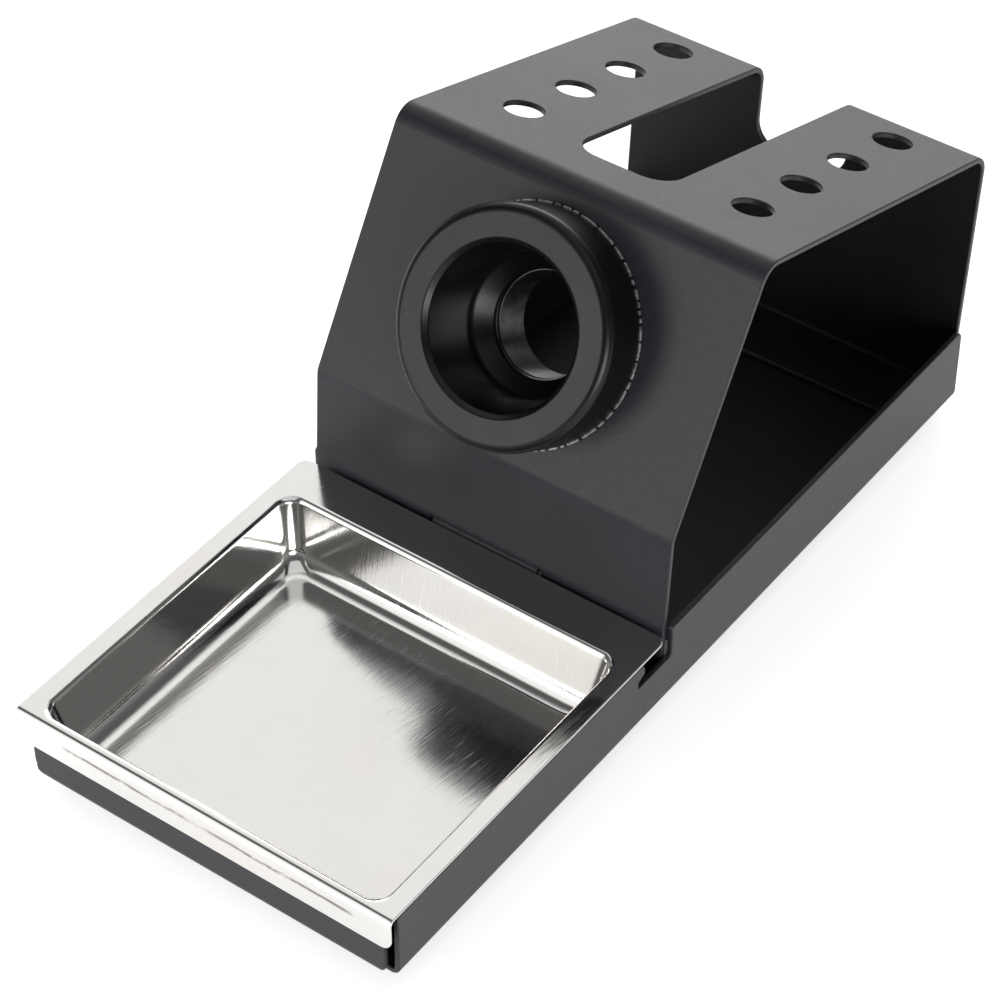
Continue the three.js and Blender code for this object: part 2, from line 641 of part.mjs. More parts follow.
let footNumber = 1;
for (const y of [FOOT_INSET_Y, BASE_LENGTH - FOOT_INSET_Y]) {
  for (const side of [-1, 1]) {
    stand.add(rubberFoot(`rubber_foot_${footNumber}`, side * (HALF_WIDTH - FOOT_INSET_X), y));
    footNumber += 1;
  }
}
stand.position.set(0, -(TRAY_FRONT + BACK_CORNER.x) / 2, FOOT_HEIGHT);

export default stand;
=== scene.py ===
"""Finished looks of a soldering iron stand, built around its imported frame.

The stand is a folded steel pan, a bridge bent from one sheet, a moulded holder with a steel sleeve and a
loose aluminium tray. Each piece is drawn in millimetres, with X across the stand, Y from the front wall to
the back and Z up from the underside of the pan, and is moved to the frame's own origin when it is made.
"""

import math
import random

import bpy
from mathutils import Matrix, Vector, noise
from mathutils.geometry import delaunay_2d_cdt


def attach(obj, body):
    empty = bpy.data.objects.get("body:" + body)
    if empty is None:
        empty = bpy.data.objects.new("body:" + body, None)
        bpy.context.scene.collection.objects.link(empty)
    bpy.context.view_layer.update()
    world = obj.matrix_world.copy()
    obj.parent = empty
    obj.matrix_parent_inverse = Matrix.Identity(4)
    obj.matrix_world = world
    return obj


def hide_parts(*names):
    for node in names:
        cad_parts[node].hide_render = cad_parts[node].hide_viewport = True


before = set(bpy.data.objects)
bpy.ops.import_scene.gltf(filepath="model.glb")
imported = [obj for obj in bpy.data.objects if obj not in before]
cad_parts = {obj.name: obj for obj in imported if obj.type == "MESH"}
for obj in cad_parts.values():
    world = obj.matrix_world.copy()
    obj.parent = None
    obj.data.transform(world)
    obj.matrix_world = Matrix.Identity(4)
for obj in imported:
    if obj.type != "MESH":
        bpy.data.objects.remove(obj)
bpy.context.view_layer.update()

bl_info = {
    "name": "Soldering Iron Stand",
    "version": (1, 0, 0),
    "blender": (4, 5, 0),
    "location": "View3D > Sidebar > Iron Stand",
    "description": "Builds the finished pieces of a soldering iron stand around its packed frame",
    "category": "Add Mesh",
}

# ---------------------------------------------------------------- sizes shared with the frame, in mm

MM = 0.001
HALF_WIDTH = 40.0  # pan, to the side wall's outer face
BASE_LENGTH = 180.5
STAND_HEIGHT = 80.2
SHEET = 1.1
PAN_BEND = 2.0
BRIDGE_BEND = 4.6
FLANGE_BEND = 1.8
WALL_HEIGHT = 17.0
FRONT_WALL_HEIGHT = 12.4
NOTCH_FLOOR = 10.2
NOTCH_START = 6.3
NOTCH_WIDTH = 8.3
RELIEF_REACH = 1.9
RELIEF_HEIGHT = 1.5
CORNER_RELIEF = 1.5
FRONT_WALL_INSET = 1.85
WALL_CORNER = 1.6
SMALL_CORNER = 0.8

TRAY_LENGTH = 79.5
TRAY_OVERHANG = 0.5
TRAY_WIDTH = 2 * (HALF_WIDTH + TRAY_OVERHANG)
TRAY_TOP = 15.75
TRAY_SHEET = 0.5
TRAY_SHIFT = -0.4
LIP_HEIGHT = 7.15
LIP_CORNER = 2.2
LIP_FIT = 0.25
WELL_SIDE_FLANGE = 4.0
WELL_WIDTH = TRAY_WIDTH - 2 * WELL_SIDE_FLANGE
WELL_BACK_FLANGE = 9.5
WELL_FLOOR = 2.2
WELL_DRAFT = 10.0
FLANGE_CORNER = 2.0

KNEE_HEIGHT = 36.4
SLOPE_ANGLE = 58.8
RACK_FALL = 17.3
PANEL_LEAN = 4.0
BRIDGE_FLANGE = 14.6
BRIDGE_SIDE_GAP = 0.15
FLANGE_SIDE_GAP = 0.4
BACK_OVERHANG = 0.2
FOOT_GAP = 0.9
TONGUE_WIDTH = 23.2
TONGUE_REACH = 6.0
TONGUE_RELIEF = 0.8

SLOT_WIDTH = 20.0
SLOT_START = 12.4
SLOT_DROP = 17.5
SLOT_CORNER = 5.5
TIP_HOLE_RADIUS = 4.0
TIP_HOLE_COUNT = 4
TIP_HOLE_START = 18.5
TIP_HOLE_PITCH = 17.0
TIP_ROW_SPACING = 48.8

HOLDER_HEIGHT_ON_SLOPE = 24.5
RING_RADIUS = 21.7
HOLDER_REACH = 11.3
MOUTH_RADIUS = 14.8
THROAT_RADIUS = 13.2
THROAT_DEPTH = 0.8
BODY_RADIUS = 17.2
SLEEVE_BORE_RADIUS = 9.5
SLEEVE_WALL = 0.6
SLEEVE_LENGTH = 8.7
SLEEVE_START = 5.1
SLEEVE_RIM = 1.4
NUT_WALL = 4.0

RIVET_SHANK = 3.0
RIVET_HEAD = 5.6
RIVET_TAIL = 4.6
RIVET_EDGE = 5.0
RIVET_PLACE = 0.6
FOOT_DIAMETER = 12.0
FOOT_HEIGHT = 3.0
FOOT_INSET = 14.0
FIT = 0.2
TURNED_FIT = 0.3

# ---------------------------------------------------------------- sizes that follow

LEAN = math.tan(math.radians(PANEL_LEAN))
FALL = math.tan(math.radians(RACK_FALL))
FRONT_FOLD_REACH = 3 * PAN_BEND  # of the floor that belongs to the front wall's fold
LOW_WALL_TOP = TRAY_TOP - TRAY_SHEET - FIT
TRAY_FRONT = -(TRAY_SHEET + LIP_FIT)
TRAY_BACK = TRAY_FRONT + TRAY_LENGTH
FLOOR_TOP = SHEET + FIT / 2
FOOT_Y = TRAY_BACK + FOOT_GAP - TRAY_TOP * LEAN
BACK_Y = BASE_LENGTH + BACK_OVERHANG
KNEE = Vector((FOOT_Y + KNEE_HEIGHT * LEAN, KNEE_HEIGHT))
SLOPE = Vector((math.cos(math.radians(SLOPE_ANGLE)), math.sin(math.radians(SLOPE_ANGLE))))
CREST = KNEE + SLOPE * ((STAND_HEIGHT - KNEE_HEIGHT) / SLOPE.y)
BACK_CORNER_Z = (CREST.y - FALL * (BACK_Y - CREST.x)) / (1 + FALL * LEAN)
BACK_CORNER = Vector((BACK_Y + BACK_CORNER_Z * LEAN, BACK_CORNER_Z))
BRIDGE_HALF = HALF_WIDTH - SHEET - BRIDGE_SIDE_GAP
FLANGE_HALF = HALF_WIDTH - PAN_BEND - FLANGE_SIDE_GAP
LOW_WALL_END = TRAY_BACK - NOTCH_START
HIGH_WALL_START = LOW_WALL_END + NOTCH_WIDTH
RIVET_ROWS = (FOOT_Y + BRIDGE_FLANGE * RIVET_PLACE, BACK_Y - BRIDGE_FLANGE * RIVET_PLACE)
FOOT_ROWS = (FOOT_INSET, BASE_LENGTH - FOOT_INSET)
ROW_SHIFT = Vector((0.0, -(TRAY_FRONT + BACK_CORNER.x) / 2, FOOT_HEIGHT))

# ---------------------------------------------------------------- details that only the looks have, in mm

COAT_EDGE = 0.28  # rounding that the coating leaves on the steel's cut edges
TRAY_EDGE = 0.16
TURNED_EDGE = 0.15  # rounding of the sleeve's edges
FINE_EDGE = 0.1
MOULDED_EDGE = 0.2
SOFT_EDGE = 0.3
TIP_HOLE_COAT = 0.25  # off a tip hole's radius, so that its rounded rim starts about at full size
RING_SHOULDER = 1.8
MOUTH_CHAMFER = 0.9
MOUTH_EDGE = 0.5
THROAT_ROUNDING = 2.8
SHELF_ROUNDING = 1.2
CUP_LIP_RADIUS = 22.0
CUP_LIP_DEPTH = 0.55
CUP_LIP_RISE = 0.05
CUP_LIP_ROOT = 1.2  # how far the lip goes into the cup
CUP_LIP_ROOT_EDGE = 0.04
CUP_LIP_SEED = 7
CUP_LIP_SPACING = (3.0, 12.0)  # from one gap to the next, in degrees
CUP_LIP_GAP = (0.5, 1.0)  # half of a gap, in degrees
NUT_GRIPS = 6
NUT_GRIP_DEPTH = 0.9
NUT_GRIP_START = 0.8  # of a cosine wave round the nut, above which the grip is cut
NUT_BACK_EDGE = 0.5
FOOT_DISH = 0.5
BROAD_DENT = 19.0  # width of the tray's slow unevenness
SMALL_DENT = 6.5
SMALL_DENT_SHIFT = Vector((3.1, 7.7, 1.3))  # so that small dents don't follow the broad ones
RIVET_ROUNDING = 0.08

BEND_STEPS = 14  # rows of faces round a bend
TONGUE_STEPS = 8
LIP_STEPS = 10
RIVET_HOLE_POINTS = 24
TIP_HOLE_POINTS = 48
HOLDER_HOLE_POINTS = 96
RIM_STEPS = 3  # rows of faces round half of a cut edge
CORNER_POINTS = 12  # points round each corner of the tray's well
SIDE_POINTS = 26  # points along each side of the tray's well
FLOOR_RINGS = 22  # rings from the edge of the well's floor to its middle
WALL_RINGS = 8  # rows of faces down the flat of the well's wall
FLANGE_SPACING = 1.8  # between the points spread over the flange
FLANGE_CLEARANCE = 0.707  # from those points to the flange's edges

# ---------------------------------------------------------------- outlines


def corner(x, y, radius=0.0):
    """A corner of an outline, with the radius that rounds it."""
    return Vector((x, y)), radius


def left_of(direction):
    """The direction a quarter turn to the left."""
    return Vector((-direction.y, direction.x))


def turned_by(vector, angle):
    """A flat vector turned to the left by an angle."""
    cosine, sine = math.cos(angle), math.sin(angle)
    return Vector((vector.x * cosine - vector.y * sine, vector.x * sine + vector.y * cosine))


def turn_between(arriving, leaving):
    """Signed angle from one direction to the next, positive to the left."""
    return math.atan2(arriving.cross(leaving), arriving.dot(leaving))


def round_path(corners, closed=True, step=math.radians(8)):
    """Points of an outline with rounded corners, and the heading at each point."""
    points, headings = [], []
    for i, (here, radius) in enumerate(corners):
        arriving = (here - corners[i - 1][0]).normalized()
        leaving = (corners[(i + 1) % len(corners)][0] - here).normalized()
        if not closed and i in (0, len(corners) - 1):
            points.append(here.copy())
            headings.append(arriving if i else leaving)
            continue
        if radius <= 0:
            points.append(here.copy())
            headings.append((arriving + leaving).normalized())
            continue
        turn = turn_between(arriving, leaving)
        start = here - arriving * (radius * math.tan(abs(turn) / 2))
        centre = start + left_of(arriving) * (math.copysign(radius, turn))
        steps = max(2, math.ceil(abs(turn) / step))
        for k in range(steps + 1):
            angle = turn * k / steps
            points.append(centre + turned_by(start - centre, angle))
            headings.append(turned_by(arriving, angle))
    return points, headings


def mirrored(right):
    """An outline's right half followed by its left half."""
    return right + [corner(-place.x, place.y, radius) for place, radius in reversed(right)]


def rectangle(half_width, low, high, radius):
    """A rectangle with rounded corners about the stand's middle line."""
    return mirrored([corner(half_width, low, radius), corner(half_width, high, radius)])


def signed_area(loop):
    """Area of a closed outline, positive if it runs to the left."""
    return sum(a.cross(b) for a, b in zip(loop, loop[1:] + loop[:1])) / 2


def sheet_loop(corners, inset, is_hole=False):
    """Rounded outline of a sheet or of a hole in it, moved onto the sheet by an inset.

    It runs with the sheet on its left. Corners that point out of the sheet lose the inset from their
    radius, and corners that point into it gain it."""
    if (signed_area([place for place, _ in corners]) < 0) != is_hole:
        corners = corners[::-1]
    moved = []
    for k, (here, radius) in enumerate(corners):
        arriving = (here - corners[k - 1][0]).normalized()
        leaving = (corners[(k + 1) % len(corners)][0] - here).normalized()
        bisector = (left_of(arriving) + left_of(leaving)).normalized()
        place = here + bisector * (inset / bisector.dot(left_of(leaving)))
        turn = turn_between(arriving, leaving)
        moved.append((place, max(0.0, radius - math.copysign(inset, turn))))
    return round_path(moved)[0]


def circle_loop(x, y, radius, count):
    """Round hole in the coated steel, as a loop with the sheet on its left."""
    reach = radius + COAT_EDGE
    angles = [-2 * math.pi * k / count for k in range(count)]
    return [Vector((x + reach * math.cos(a), y + reach * math.sin(a))) for a in angles]


# ---------------------------------------------------------------- bent sheet


class Fold:
    """The outer face of a bent sheet seen from its edge, measured along its length."""

    def __init__(self, corners, outer_side):
        """outer_side is 1 where the outer face looks to the left of the path, and -1 to the right."""
        self.outer_side = outer_side
        self.runs = []
        self.corners = {}
        start = 0.0
        place = corners[0][0]
        for i in range(1, len(corners)):
            here, radius = corners[i]
            ahead = (here - place).normalized()
            turn, setback = 0.0, 0.0
            if i + 1 < len(corners):
                leaving = (corners[i + 1][0] - here).normalized()
                turn = turn_between(ahead, leaving)
                setback = radius * math.tan(abs(turn) / 2)
            length = (here - place).length - setback
            self.runs.append((start, length, place, ahead, 0.0, 0.0))
            start += length
            place = here - ahead * setback
            arc = radius * abs(turn)
            if arc > 0:
                self.runs.append((start, arc, place, ahead, turn, radius))
                self.corners[i] = (start, arc, setback)
                place = here + leaving * setback
            start += arc
        self.length = start

    def at(self, along):
        """Point on the outer face and the direction out of it."""
        run = next((r for r in self.runs if along <= r[0] + r[1]), self.runs[-1])
        start, length, place, ahead, turn, radius = run
        if turn:
            angle = turn * (along - start) / length
            centre = place + left_of(ahead) * math.copysign(radius, turn)
            point = centre + turned_by(place - centre, angle)
            ahead = turned_by(ahead, angle)
        else:
            point = place + ahead * (along - start)
        return point, left_of(ahead) * self.outer_side

    def past(self, index, distance):
        """Length along the fold at a distance past a corner, as if that corner were sharp."""
        start, arc, setback = self.corners[index]
        return start + arc + distance - setback

    def before(self, index, distance):
        """Length along the fold at a distance before a corner, as if that corner were sharp."""
        start, _arc, setback = self.corners[index]
        return start + setback - distance

    def bend_rows(self, steps=BEND_STEPS):
        """Lengths along the fold at which the sheet is split so that it can bend."""
        bends = [(start, arc) for start, arc, _setback in self.corners.values()]
        return [start + arc * k / steps for start, arc in bends for k in range(steps + 1)]


def is_inside(point, loops):
    """True where a point lies on the sheet: inside its outline and outside its holes."""
    crossings = 0
    for loop in loops:
        for a, b in zip(loop, loop[1:] + loop[:1]):
            if (a.y > point.y) != (b.y > point.y):
                crossings += point.x < a.x + (point.y - a.y) * (b.x - a.x) / (b.y - a.y)
    return crossings % 2 == 1


def flat_blank(loops, rows, extra_points=()):
    """Triangles of a flat sheet with holes, split along its bend rows.

    Returns the points, the faces and, for every point put in, its place in the points that came out."""
    points = [p for loop in loops for p in loop]
    edges = []
    first = 0
    for loop in loops:
        edges += [(first + k, first + (k + 1) % len(loop)) for k in range(len(loop))]
        first += len(loop)
    for a, b in rows:
        edges.append((len(points), len(points) + 1))
        points += [Vector(a), Vector(b)]
    points += [Vector(p) for p in extra_points]
    flat, _edges, triangles, sources, _, _ = delaunay_2d_cdt(points, edges, [], 0, 1e-5)
    kept = [t for t in triangles if is_inside(sum((flat[v] for v in t), Vector((0, 0))) / len(t), loops)]
    used = sorted({v for t in kept for v in t})
    renumber = {v: k for k, v in enumerate(used)}
    faces = [[renumber[v] for v in t] for t in kept]
    place = {source: renumber[v] for v in used for source in sources[v]}
    return [flat[v] for v in used], faces, place


def boundary_loops(faces):
    """Runs of point numbers round the open edges, with the faces on their left."""
    directed = {(f[k], f[(k + 1) % len(f)]) for f in faces for k in range(len(f))}
    follows = {a: b for a, b in directed if (b, a) not in directed}
    loops = []
    while follows:
        first = next(iter(follows))
        loop = [first]
        here = follows.pop(first)
        while here != first:
            loop.append(here)
            here = follows.pop(here)
        loops.append(loop)
    return loops


def face_normals(points, faces):
    """Smooth directions out of a surface, weighted by the size of the faces round each point."""
    normals = [Vector((0, 0, 0)) for _ in points]
    for face in faces:
        for k in range(1, len(face) - 1):
            a, b, c = (points[face[j]] for j in (0, k, k + 1))
            area = (b - a).cross(c - a)
            for j in (0, k, k + 1):
                normals[face[j]] += area
    return [n.normalized() for n in normals]


def edge_profile(thickness, radius):
    """A rounded cut edge as (reach out, depth, turn), from the sheet's outer face to its inner face."""
    turns = [math.pi / 2 * k / RIM_STEPS for k in range(1, RIM_STEPS + 1)]
    upper = [(radius * math.sin(t), radius * (1 - math.cos(t)), t) for t in turns]
    lower = [(out, thickness - depth, math.pi - t) for out, depth, t in reversed(upper)]
    return upper + lower


def edge_direction(before, here, after, normal):
    """Direction out of the sheet's edge at a point, and how much a corner there lengthens it."""
    arriving = (here - before).cross(normal).normalized()
    leaving = (after - here).cross(normal).normalized()
    middle = (arriving + leaving).normalized()
    return middle, 1 / max(0.5, middle.dot(leaving))


def thicken(points, normals, faces, thickness, edge_radius):
    """Closed sheet from its outer face, with rounded cut edges.

    Returns points, normals, faces and each face's side: 0 outside and on the edges, 1 inside."""
    a, b, c = (points[v] for v in faces[0][:3])
    if (b - a).cross(c - a).dot(normals[faces[0][0]]) < 0:
        faces = [f[::-1] for f in faces]
    count = len(points)
    all_points = list(points) + [p - n * thickness for p, n in zip(points, normals)]
    all_normals = list(normals) + [-n for n in normals]
    all_faces = list(faces) + [[v + count for v in f[::-1]] for f in faces]
    sides = [0] * len(faces) + [1] * len(faces)
    for loop in boundary_loops(faces):
        neighbours = zip(loop[-1:] + loop[:-1], loop, loop[1:] + loop[:1])
        outward = [edge_direction(points[b], points[h], points[a], normals[h]) for b, h, a in neighbours]
        rings = [loop]
        for out, depth, turn in edge_profile(thickness, edge_radius):
            rings.append(list(range(len(all_points), len(all_points) + len(loop))))
            for here, (middle, stretch) in zip(loop, outward):
                all_points.append(points[here] + middle * (out * stretch) - normals[here] * depth)
                all_normals.append(normals[here] * math.cos(turn) + middle * math.sin(turn))
        rings.append([v + count for v in loop])
        for upper, lower in zip(rings, rings[1:]):
            for k in range(len(loop)):
                after = (k + 1) % len(loop)
                all_faces.append([upper[after], upper[k], lower[k], lower[after]])
                sides.append(0)
    return all_points, all_normals, all_faces, sides


def make_piece(name, points, faces, materials, sides=None, normals=None):
    """A mesh object in the row frame, smooth, with its place in its mesh."""
    mesh = bpy.data.meshes.new(name)
    mesh.from_pydata([(p + ROW_SHIFT) * MM for p in points], [], faces)
    for material in materials:
        mesh.materials.append(material)
    if sides:
        mesh.polygons.foreach_set("material_index", sides)
    mesh.shade_smooth()
    if normals:
        mesh.normals_split_custom_set_from_vertices([n.normalized() for n in normals])
    piece = bpy.data.objects.new(name, mesh)
    bpy.context.scene.collection.objects.link(piece)
    return piece


def finish_piece(piece, body, slot, *nodes):
    """Rides a piece on its body in place of its CAD nodes; the slot given to it is not used."""
    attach(piece, body)
    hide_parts(*nodes)


def bent_steel(name, node, loops, fold_at, rows, steel):
    """A piece bent from a flat steel blank with holes, in place of a CAD node of the stand.

    fold_at turns a flat point into a place and the direction out of the sheet there."""
    flat, faces, _place = flat_blank(loops, rows)
    points, normals = zip(*(fold_at(p) for p in flat))
    points, normals, faces, sides = thicken(points, normals, faces, SHEET, COAT_EDGE)
    # the inside faces take the second slot, a darker coat that is painted shade
    materials = [coated_steel(steel), painted_shade_coat(steel)]
    piece = make_piece(name, points, faces, materials, sides, normals)
    finish_piece(piece, "stand", "coated_steel", node)


# ---------------------------------------------------------------- turned pieces


def turned_solid(outline, place, segments=96):
    """Points, normals and faces of a ring turned about an axis.

    The outline is a closed rounded path of (radius, distance) corners. place turns (across, up, out)
    into a point of the stand."""
    profile, headings = round_path(outline, step=math.radians(12))
    if signed_area(profile) < 0:
        profile.reverse()
        headings = [-h for h in reversed(headings)]
    points, normals = [], []
    for k in range(segments):
        angle = 2 * math.pi * k / segments
        across, up = math.cos(angle), math.sin(angle)
        for (radius, out), heading in zip(profile, headings):
            points.append(place @ Vector((radius * across, radius * up, out)))
            direction = Vector((heading.y * across, heading.y * up, -heading.x))
            normals.append(place.to_3x3() @ direction)
    count = len(profile)
    faces = []
    for k in range(segments):
        here, after = k * count, (k + 1) % segments * count
        for j in range(count):
            i = (j + 1) % count
            faces.append([here + j, after + j, after + i, here + i])
    return points, normals, faces


def domed_solid(outline, segments):
    """Points and faces of a solid whose outline starts and ends on its upright axis."""
    profile = round_path(outline, closed=False, step=math.radians(12))[0]
    points = [Vector((0, 0, profile[0].y)), Vector((0, 0, profile[-1].y))]
    rows = profile[1:-1]
    for radius, height in rows:
        for k in range(segments):
            angle = 2 * math.pi * k / segments
            points.append(Vector((radius * math.cos(angle), radius * math.sin(angle), height)))
    faces = []
    for k in range(segments):
        after = (k + 1) % segments
        faces.append([0, 2 + after, 2 + k])
        last = 2 + (len(rows) - 1) * segments
        faces.append([1, last + k, last + after])
        for row in range(len(rows) - 1):
            low = 2 + row * segments
            faces.append([low + k, low + after, low + segments + after, low + segments + k])
    return points, faces


def holder_place():
    """Turns (across, up the slope, out of the slope) at the holder's axis into a point of the stand."""
    axis = KNEE + SLOPE * HOLDER_HEIGHT_ON_SLOPE
    place = Matrix.Identity(4)
    place.col[0] = (1, 0, 0, 0)
    place.col[1] = (0, SLOPE.x, SLOPE.y, 0)
    place.col[2] = (0, -SLOPE.y, SLOPE.x, 0)
    place.col[3] = (0, axis.x, axis.y, 1)
    return place


# ---------------------------------------------------------------- shader building


class Reading:
    """A node's output that can be used in sums, as a number can."""

    def __init__(self, tree, socket):
        self.tree = tree
        self.socket = socket

    def sum_of(self, operation, *terms):
        """A maths node of these terms, each a reading or a plain number."""
        return self.tree.node("ShaderNodeMath", {"operation": operation}, dict(enumerate(terms)))

    def __add__(self, other):
        return self.sum_of("ADD", self, other)

    def __sub__(self, other):
        return self.sum_of("SUBTRACT", self, other)

    def __rsub__(self, other):
        return self.sum_of("SUBTRACT", other, self)

    def __mul__(self, other):
        return self.sum_of("MULTIPLY", self, other)

    def __abs__(self):
        return self.sum_of("ABSOLUTE", self)

    def between(self, low, high):
        """0 at low, 1 at high, and a soft change from one to the other."""
        settings = {"interpolation_type": "SMOOTHSTEP"}
        values = {"Value": self, "From Min": low, "From Max": high}
        return self.tree.node("ShaderNodeMapRange", settings, values)

    __radd__ = __add__
    __rmul__ = __mul__


class NodeTree:
    """A tree of nodes while it is being built."""

    def __init__(self, tree):
        self.tree = tree

    def node(self, kind, settings, values, output=0):
        """Adds a node: its settings first, then the values or links of its sockets. Returns one output."""
        node = self.tree.nodes.new(kind)
        for name, value in settings.items():
            setattr(node, name, value)
        for name, value in values.items():
            socket = node.inputs[name]
            if isinstance(value, Reading):
                self.tree.links.new(value.socket, socket)
            elif socket.type == "RGBA":
                socket.default_value = (*value, 1.0)
            else:
                socket.default_value = value
        return Reading(self, node.outputs[output]) if node.outputs else None


class Finish(NodeTree):
    """A node material, or the world's light, while it is being built."""

    def __init__(self, owner):
        owner.use_nodes = True
        owner.node_tree.nodes.clear()
        super().__init__(owner.node_tree)
        self.owner = owner

    def speckle(self, size, detail=2.0, roughness=0.5, stretch=(1, 1, 1), turn=(0, 0, 0)):
        """Soft noise whose spots are about as wide as size, in metres, and longer by stretch."""
        values = {
            "Vector": self.node("ShaderNodeTexCoord", {}, {}, "Object"),
            "Scale": tuple(size * s for s in stretch),
            "Rotation": turn,
        }
        place = self.node("ShaderNodeMapping", {"vector_type": "TEXTURE"}, values)
        values = {"Vector": place, "Scale": 1.0, "Detail": detail, "Roughness": roughness}
        return self.node("ShaderNodeTexNoise", {}, values)

    def axis(self, name):
        """One of the object's own coordinates, in metres."""
        place = self.node("ShaderNodeTexCoord", {}, {}, "Object")
        return self.node("ShaderNodeSeparateXYZ", {}, {"Vector": place}, name)

    def mix(self, share, first, second):
        """One colour at share 0 and another at share 1. A mix node's colour sockets go by number."""
        return self.node("ShaderNodeMix", {"data_type": "RGBA"}, {0: share, 6: first, 7: second}, 2)

    def drift(self, spots, dark, light, low=0.3, high=0.7):
        """A colour that goes from a dark shade to a light one with a noise's spots."""
        return self.mix(spots.between(low, high), dark, light)

    def bump(self, height, distance, strength, **normal):
        """Relief of a height from 0 to 1, that stands a distance proud, on top of another Normal."""
        values = {"Height": height, "Distance": distance, "Strength": strength, **normal}
        return self.node("ShaderNodeBump", {}, values)

    def surface(self, **values):
        """The shader itself, from the names of its sockets with _ for a space."""
        named = {name.replace("_", " "): value for name, value in values.items()}
        shader = self.node("ShaderNodeBsdfPrincipled", {}, named)
        self.node("ShaderNodeOutputMaterial", {}, {"Surface": shader})
        return self.owner


def new_finish(name):
    """An empty material of that name, ready to be built."""
    return Finish(bpy.data.materials.new(name))


# ---------------------------------------------------------------- finishes, with sizes in metres

DUST = (0.20, 0.20, 0.21)
# colour of the darker marks along a line on the tray's lip
LIP_MARK_METAL = (0.20, 0.17, 0.15)


def coated_steel(look):
    """Satin black powder coat on the outside of the folded steel."""
    finish = new_finish("coated_steel_outside")
    coat = Vector(look.coat_colour)
    peel = finish.speckle(look.peel_size, roughness=0.55)
    clouds = finish.speckle(0.018, detail=3.0)
    dust = finish.speckle(0.0009, detail=1.0).between(0.66, 0.78)
    colour = finish.drift(clouds, coat * 0.9, coat * 1.1)
    colour = finish.mix(dust * 0.03, colour, DUST)
    roughness = (peel - 0.5) * 0.12 + clouds * 0.06 + (look.coat_roughness - 0.03)
    normal = finish.bump(peel, look.peel_depth, 0.5)
    return finish.surface(Base_Color=colour, Roughness=roughness, Normal=normal, Specular_IOR_Level=0.3)


def painted_shade_coat(look):
    """The same coat on the inside of the folds, more matt, in a darker colour that is painted shade for the
    inside of the stand.
    """
    finish = new_finish("coated_steel_painted_shade")
    coat = Vector(look.painted_shade_colour)
    peel = finish.speckle(look.peel_size * 1.6, detail=3.0)
    clouds = finish.speckle(0.014)
    colour = finish.drift(clouds, coat, coat * 1.5)
    normal = finish.bump(peel, look.peel_depth * 1.5, 0.5)
    return finish.surface(
        Base_Color=colour, Roughness=clouds * 0.12 + 0.5, Normal=normal, Specular_IOR_Level=0.25
    )


def bright_aluminium(look):
    """Bright rolled sheet: fine grain from front to back, faint stains, and a line of darker marks on the
    lip.
    """
    finish = new_finish("bright_aluminium")
    metal = Vector(look.metal_colour)
    warm_metal = Vector((metal.x, metal.y * 0.96, metal.z * 0.89))
    turn = (0, 0, look.grain_turn)
    grain = finish.speckle(look.grain_width, roughness=0.6, stretch=(1, 26, 26), turn=turn)
    lines = finish.speckle(look.grain_width * 1.7, detail=1.0, stretch=(1, 12, 12), turn=turn)
    scratches = lines.between(0.66, 0.74)
    stains = finish.speckle(0.016, detail=4.0, roughness=0.6)
    warmth = finish.speckle(0.03).between(0.5, 0.75)
    lip_marks = lip_mark_line(finish, look)
    colour = finish.mix(stains.between(0.25, 0.7) * 0.5, metal, metal * 0.93)
    colour = finish.mix(warmth * 0.35, colour, warm_metal)
    colour = finish.mix(lip_marks, colour, LIP_MARK_METAL)
    roughness = (grain - 0.5) * 0.10 + stains * 0.06 + scratches * 0.08 + lip_marks * 0.25
    roughness = roughness + (look.metal_roughness - 0.03)
    normal = finish.bump(grain, look.grain_depth, 0.6)
    return finish.surface(Base_Color=colour, Metallic=1.0, Roughness=roughness, Normal=normal)


def lip_mark_line(finish, look):
    """Broken darker, rougher marks along a wavering line below the lip's upper edge."""
    height = (ROW_SHIFT.z + TRAY_TOP) * MM - look.lip_mark_drop
    front = (ROW_SHIFT.y + TRAY_FRONT) * MM
    left = (TRAY_SHIFT - TRAY_WIDTH / 2) * MM
    right = (TRAY_SHIFT + TRAY_WIDTH / 2) * MM
    waver = (finish.speckle(0.012) - 0.5) * 0.0009
    below = finish.axis("Z") + waver - height
    band = 1 - abs(below).between(0.00015, 0.00055)
    on_lip = 1 - finish.axis("Y").between(front + 0.0004, front + 0.0006)
    marks = finish.speckle(0.0016, detail=4.0, roughness=0.75, stretch=(2.4, 1, 0.6)).between(0.36, 0.52)
    lengths = finish.speckle(0.011).between(0.20, 0.40)
    from_left = finish.axis("X").between(left + 0.009, left + 0.013)
    from_right = 1 - finish.axis("X").between(right - 0.0095, right - 0.0065)
    return band * on_lip * marks * lengths * from_left * from_right * look.lip_mark_strength


def moulded_plastic(look):
    """Dark heat-resistant moulding with a low sheen and a very fine spark texture."""
    finish = new_finish("moulded_plastic")
    plastic = Vector(look.plastic_colour)
    spark = finish.speckle(0.0005)
    clouds = finish.speckle(0.009)
    colour = finish.drift(clouds, plastic * 0.9, plastic * 1.1)
    roughness = clouds * 0.08 + (spark - 0.5) * 0.10 + (look.plastic_roughness - 0.04)
    normal = finish.bump(spark, 0.000012, 0.5)
    return finish.surface(Base_Color=colour, Roughness=roughness, Normal=normal, Specular_IOR_Level=0.27)


def painted_glint_edge(look):
    """Bright edge of the cup's foot: a thin broken lip whose bright colour is a painted highlight for its
    glint.
    """
    finish = new_finish("painted_glint_edge")
    edge = Vector(look.glint_colour)
    mottle = finish.speckle(0.0008, detail=3.0)
    colour = finish.drift(mottle, edge * 0.4, edge, 0.35, 0.6)
    return finish.surface(Base_Color=colour, Metallic=0.6, Roughness=mottle * 0.2 + 0.35)


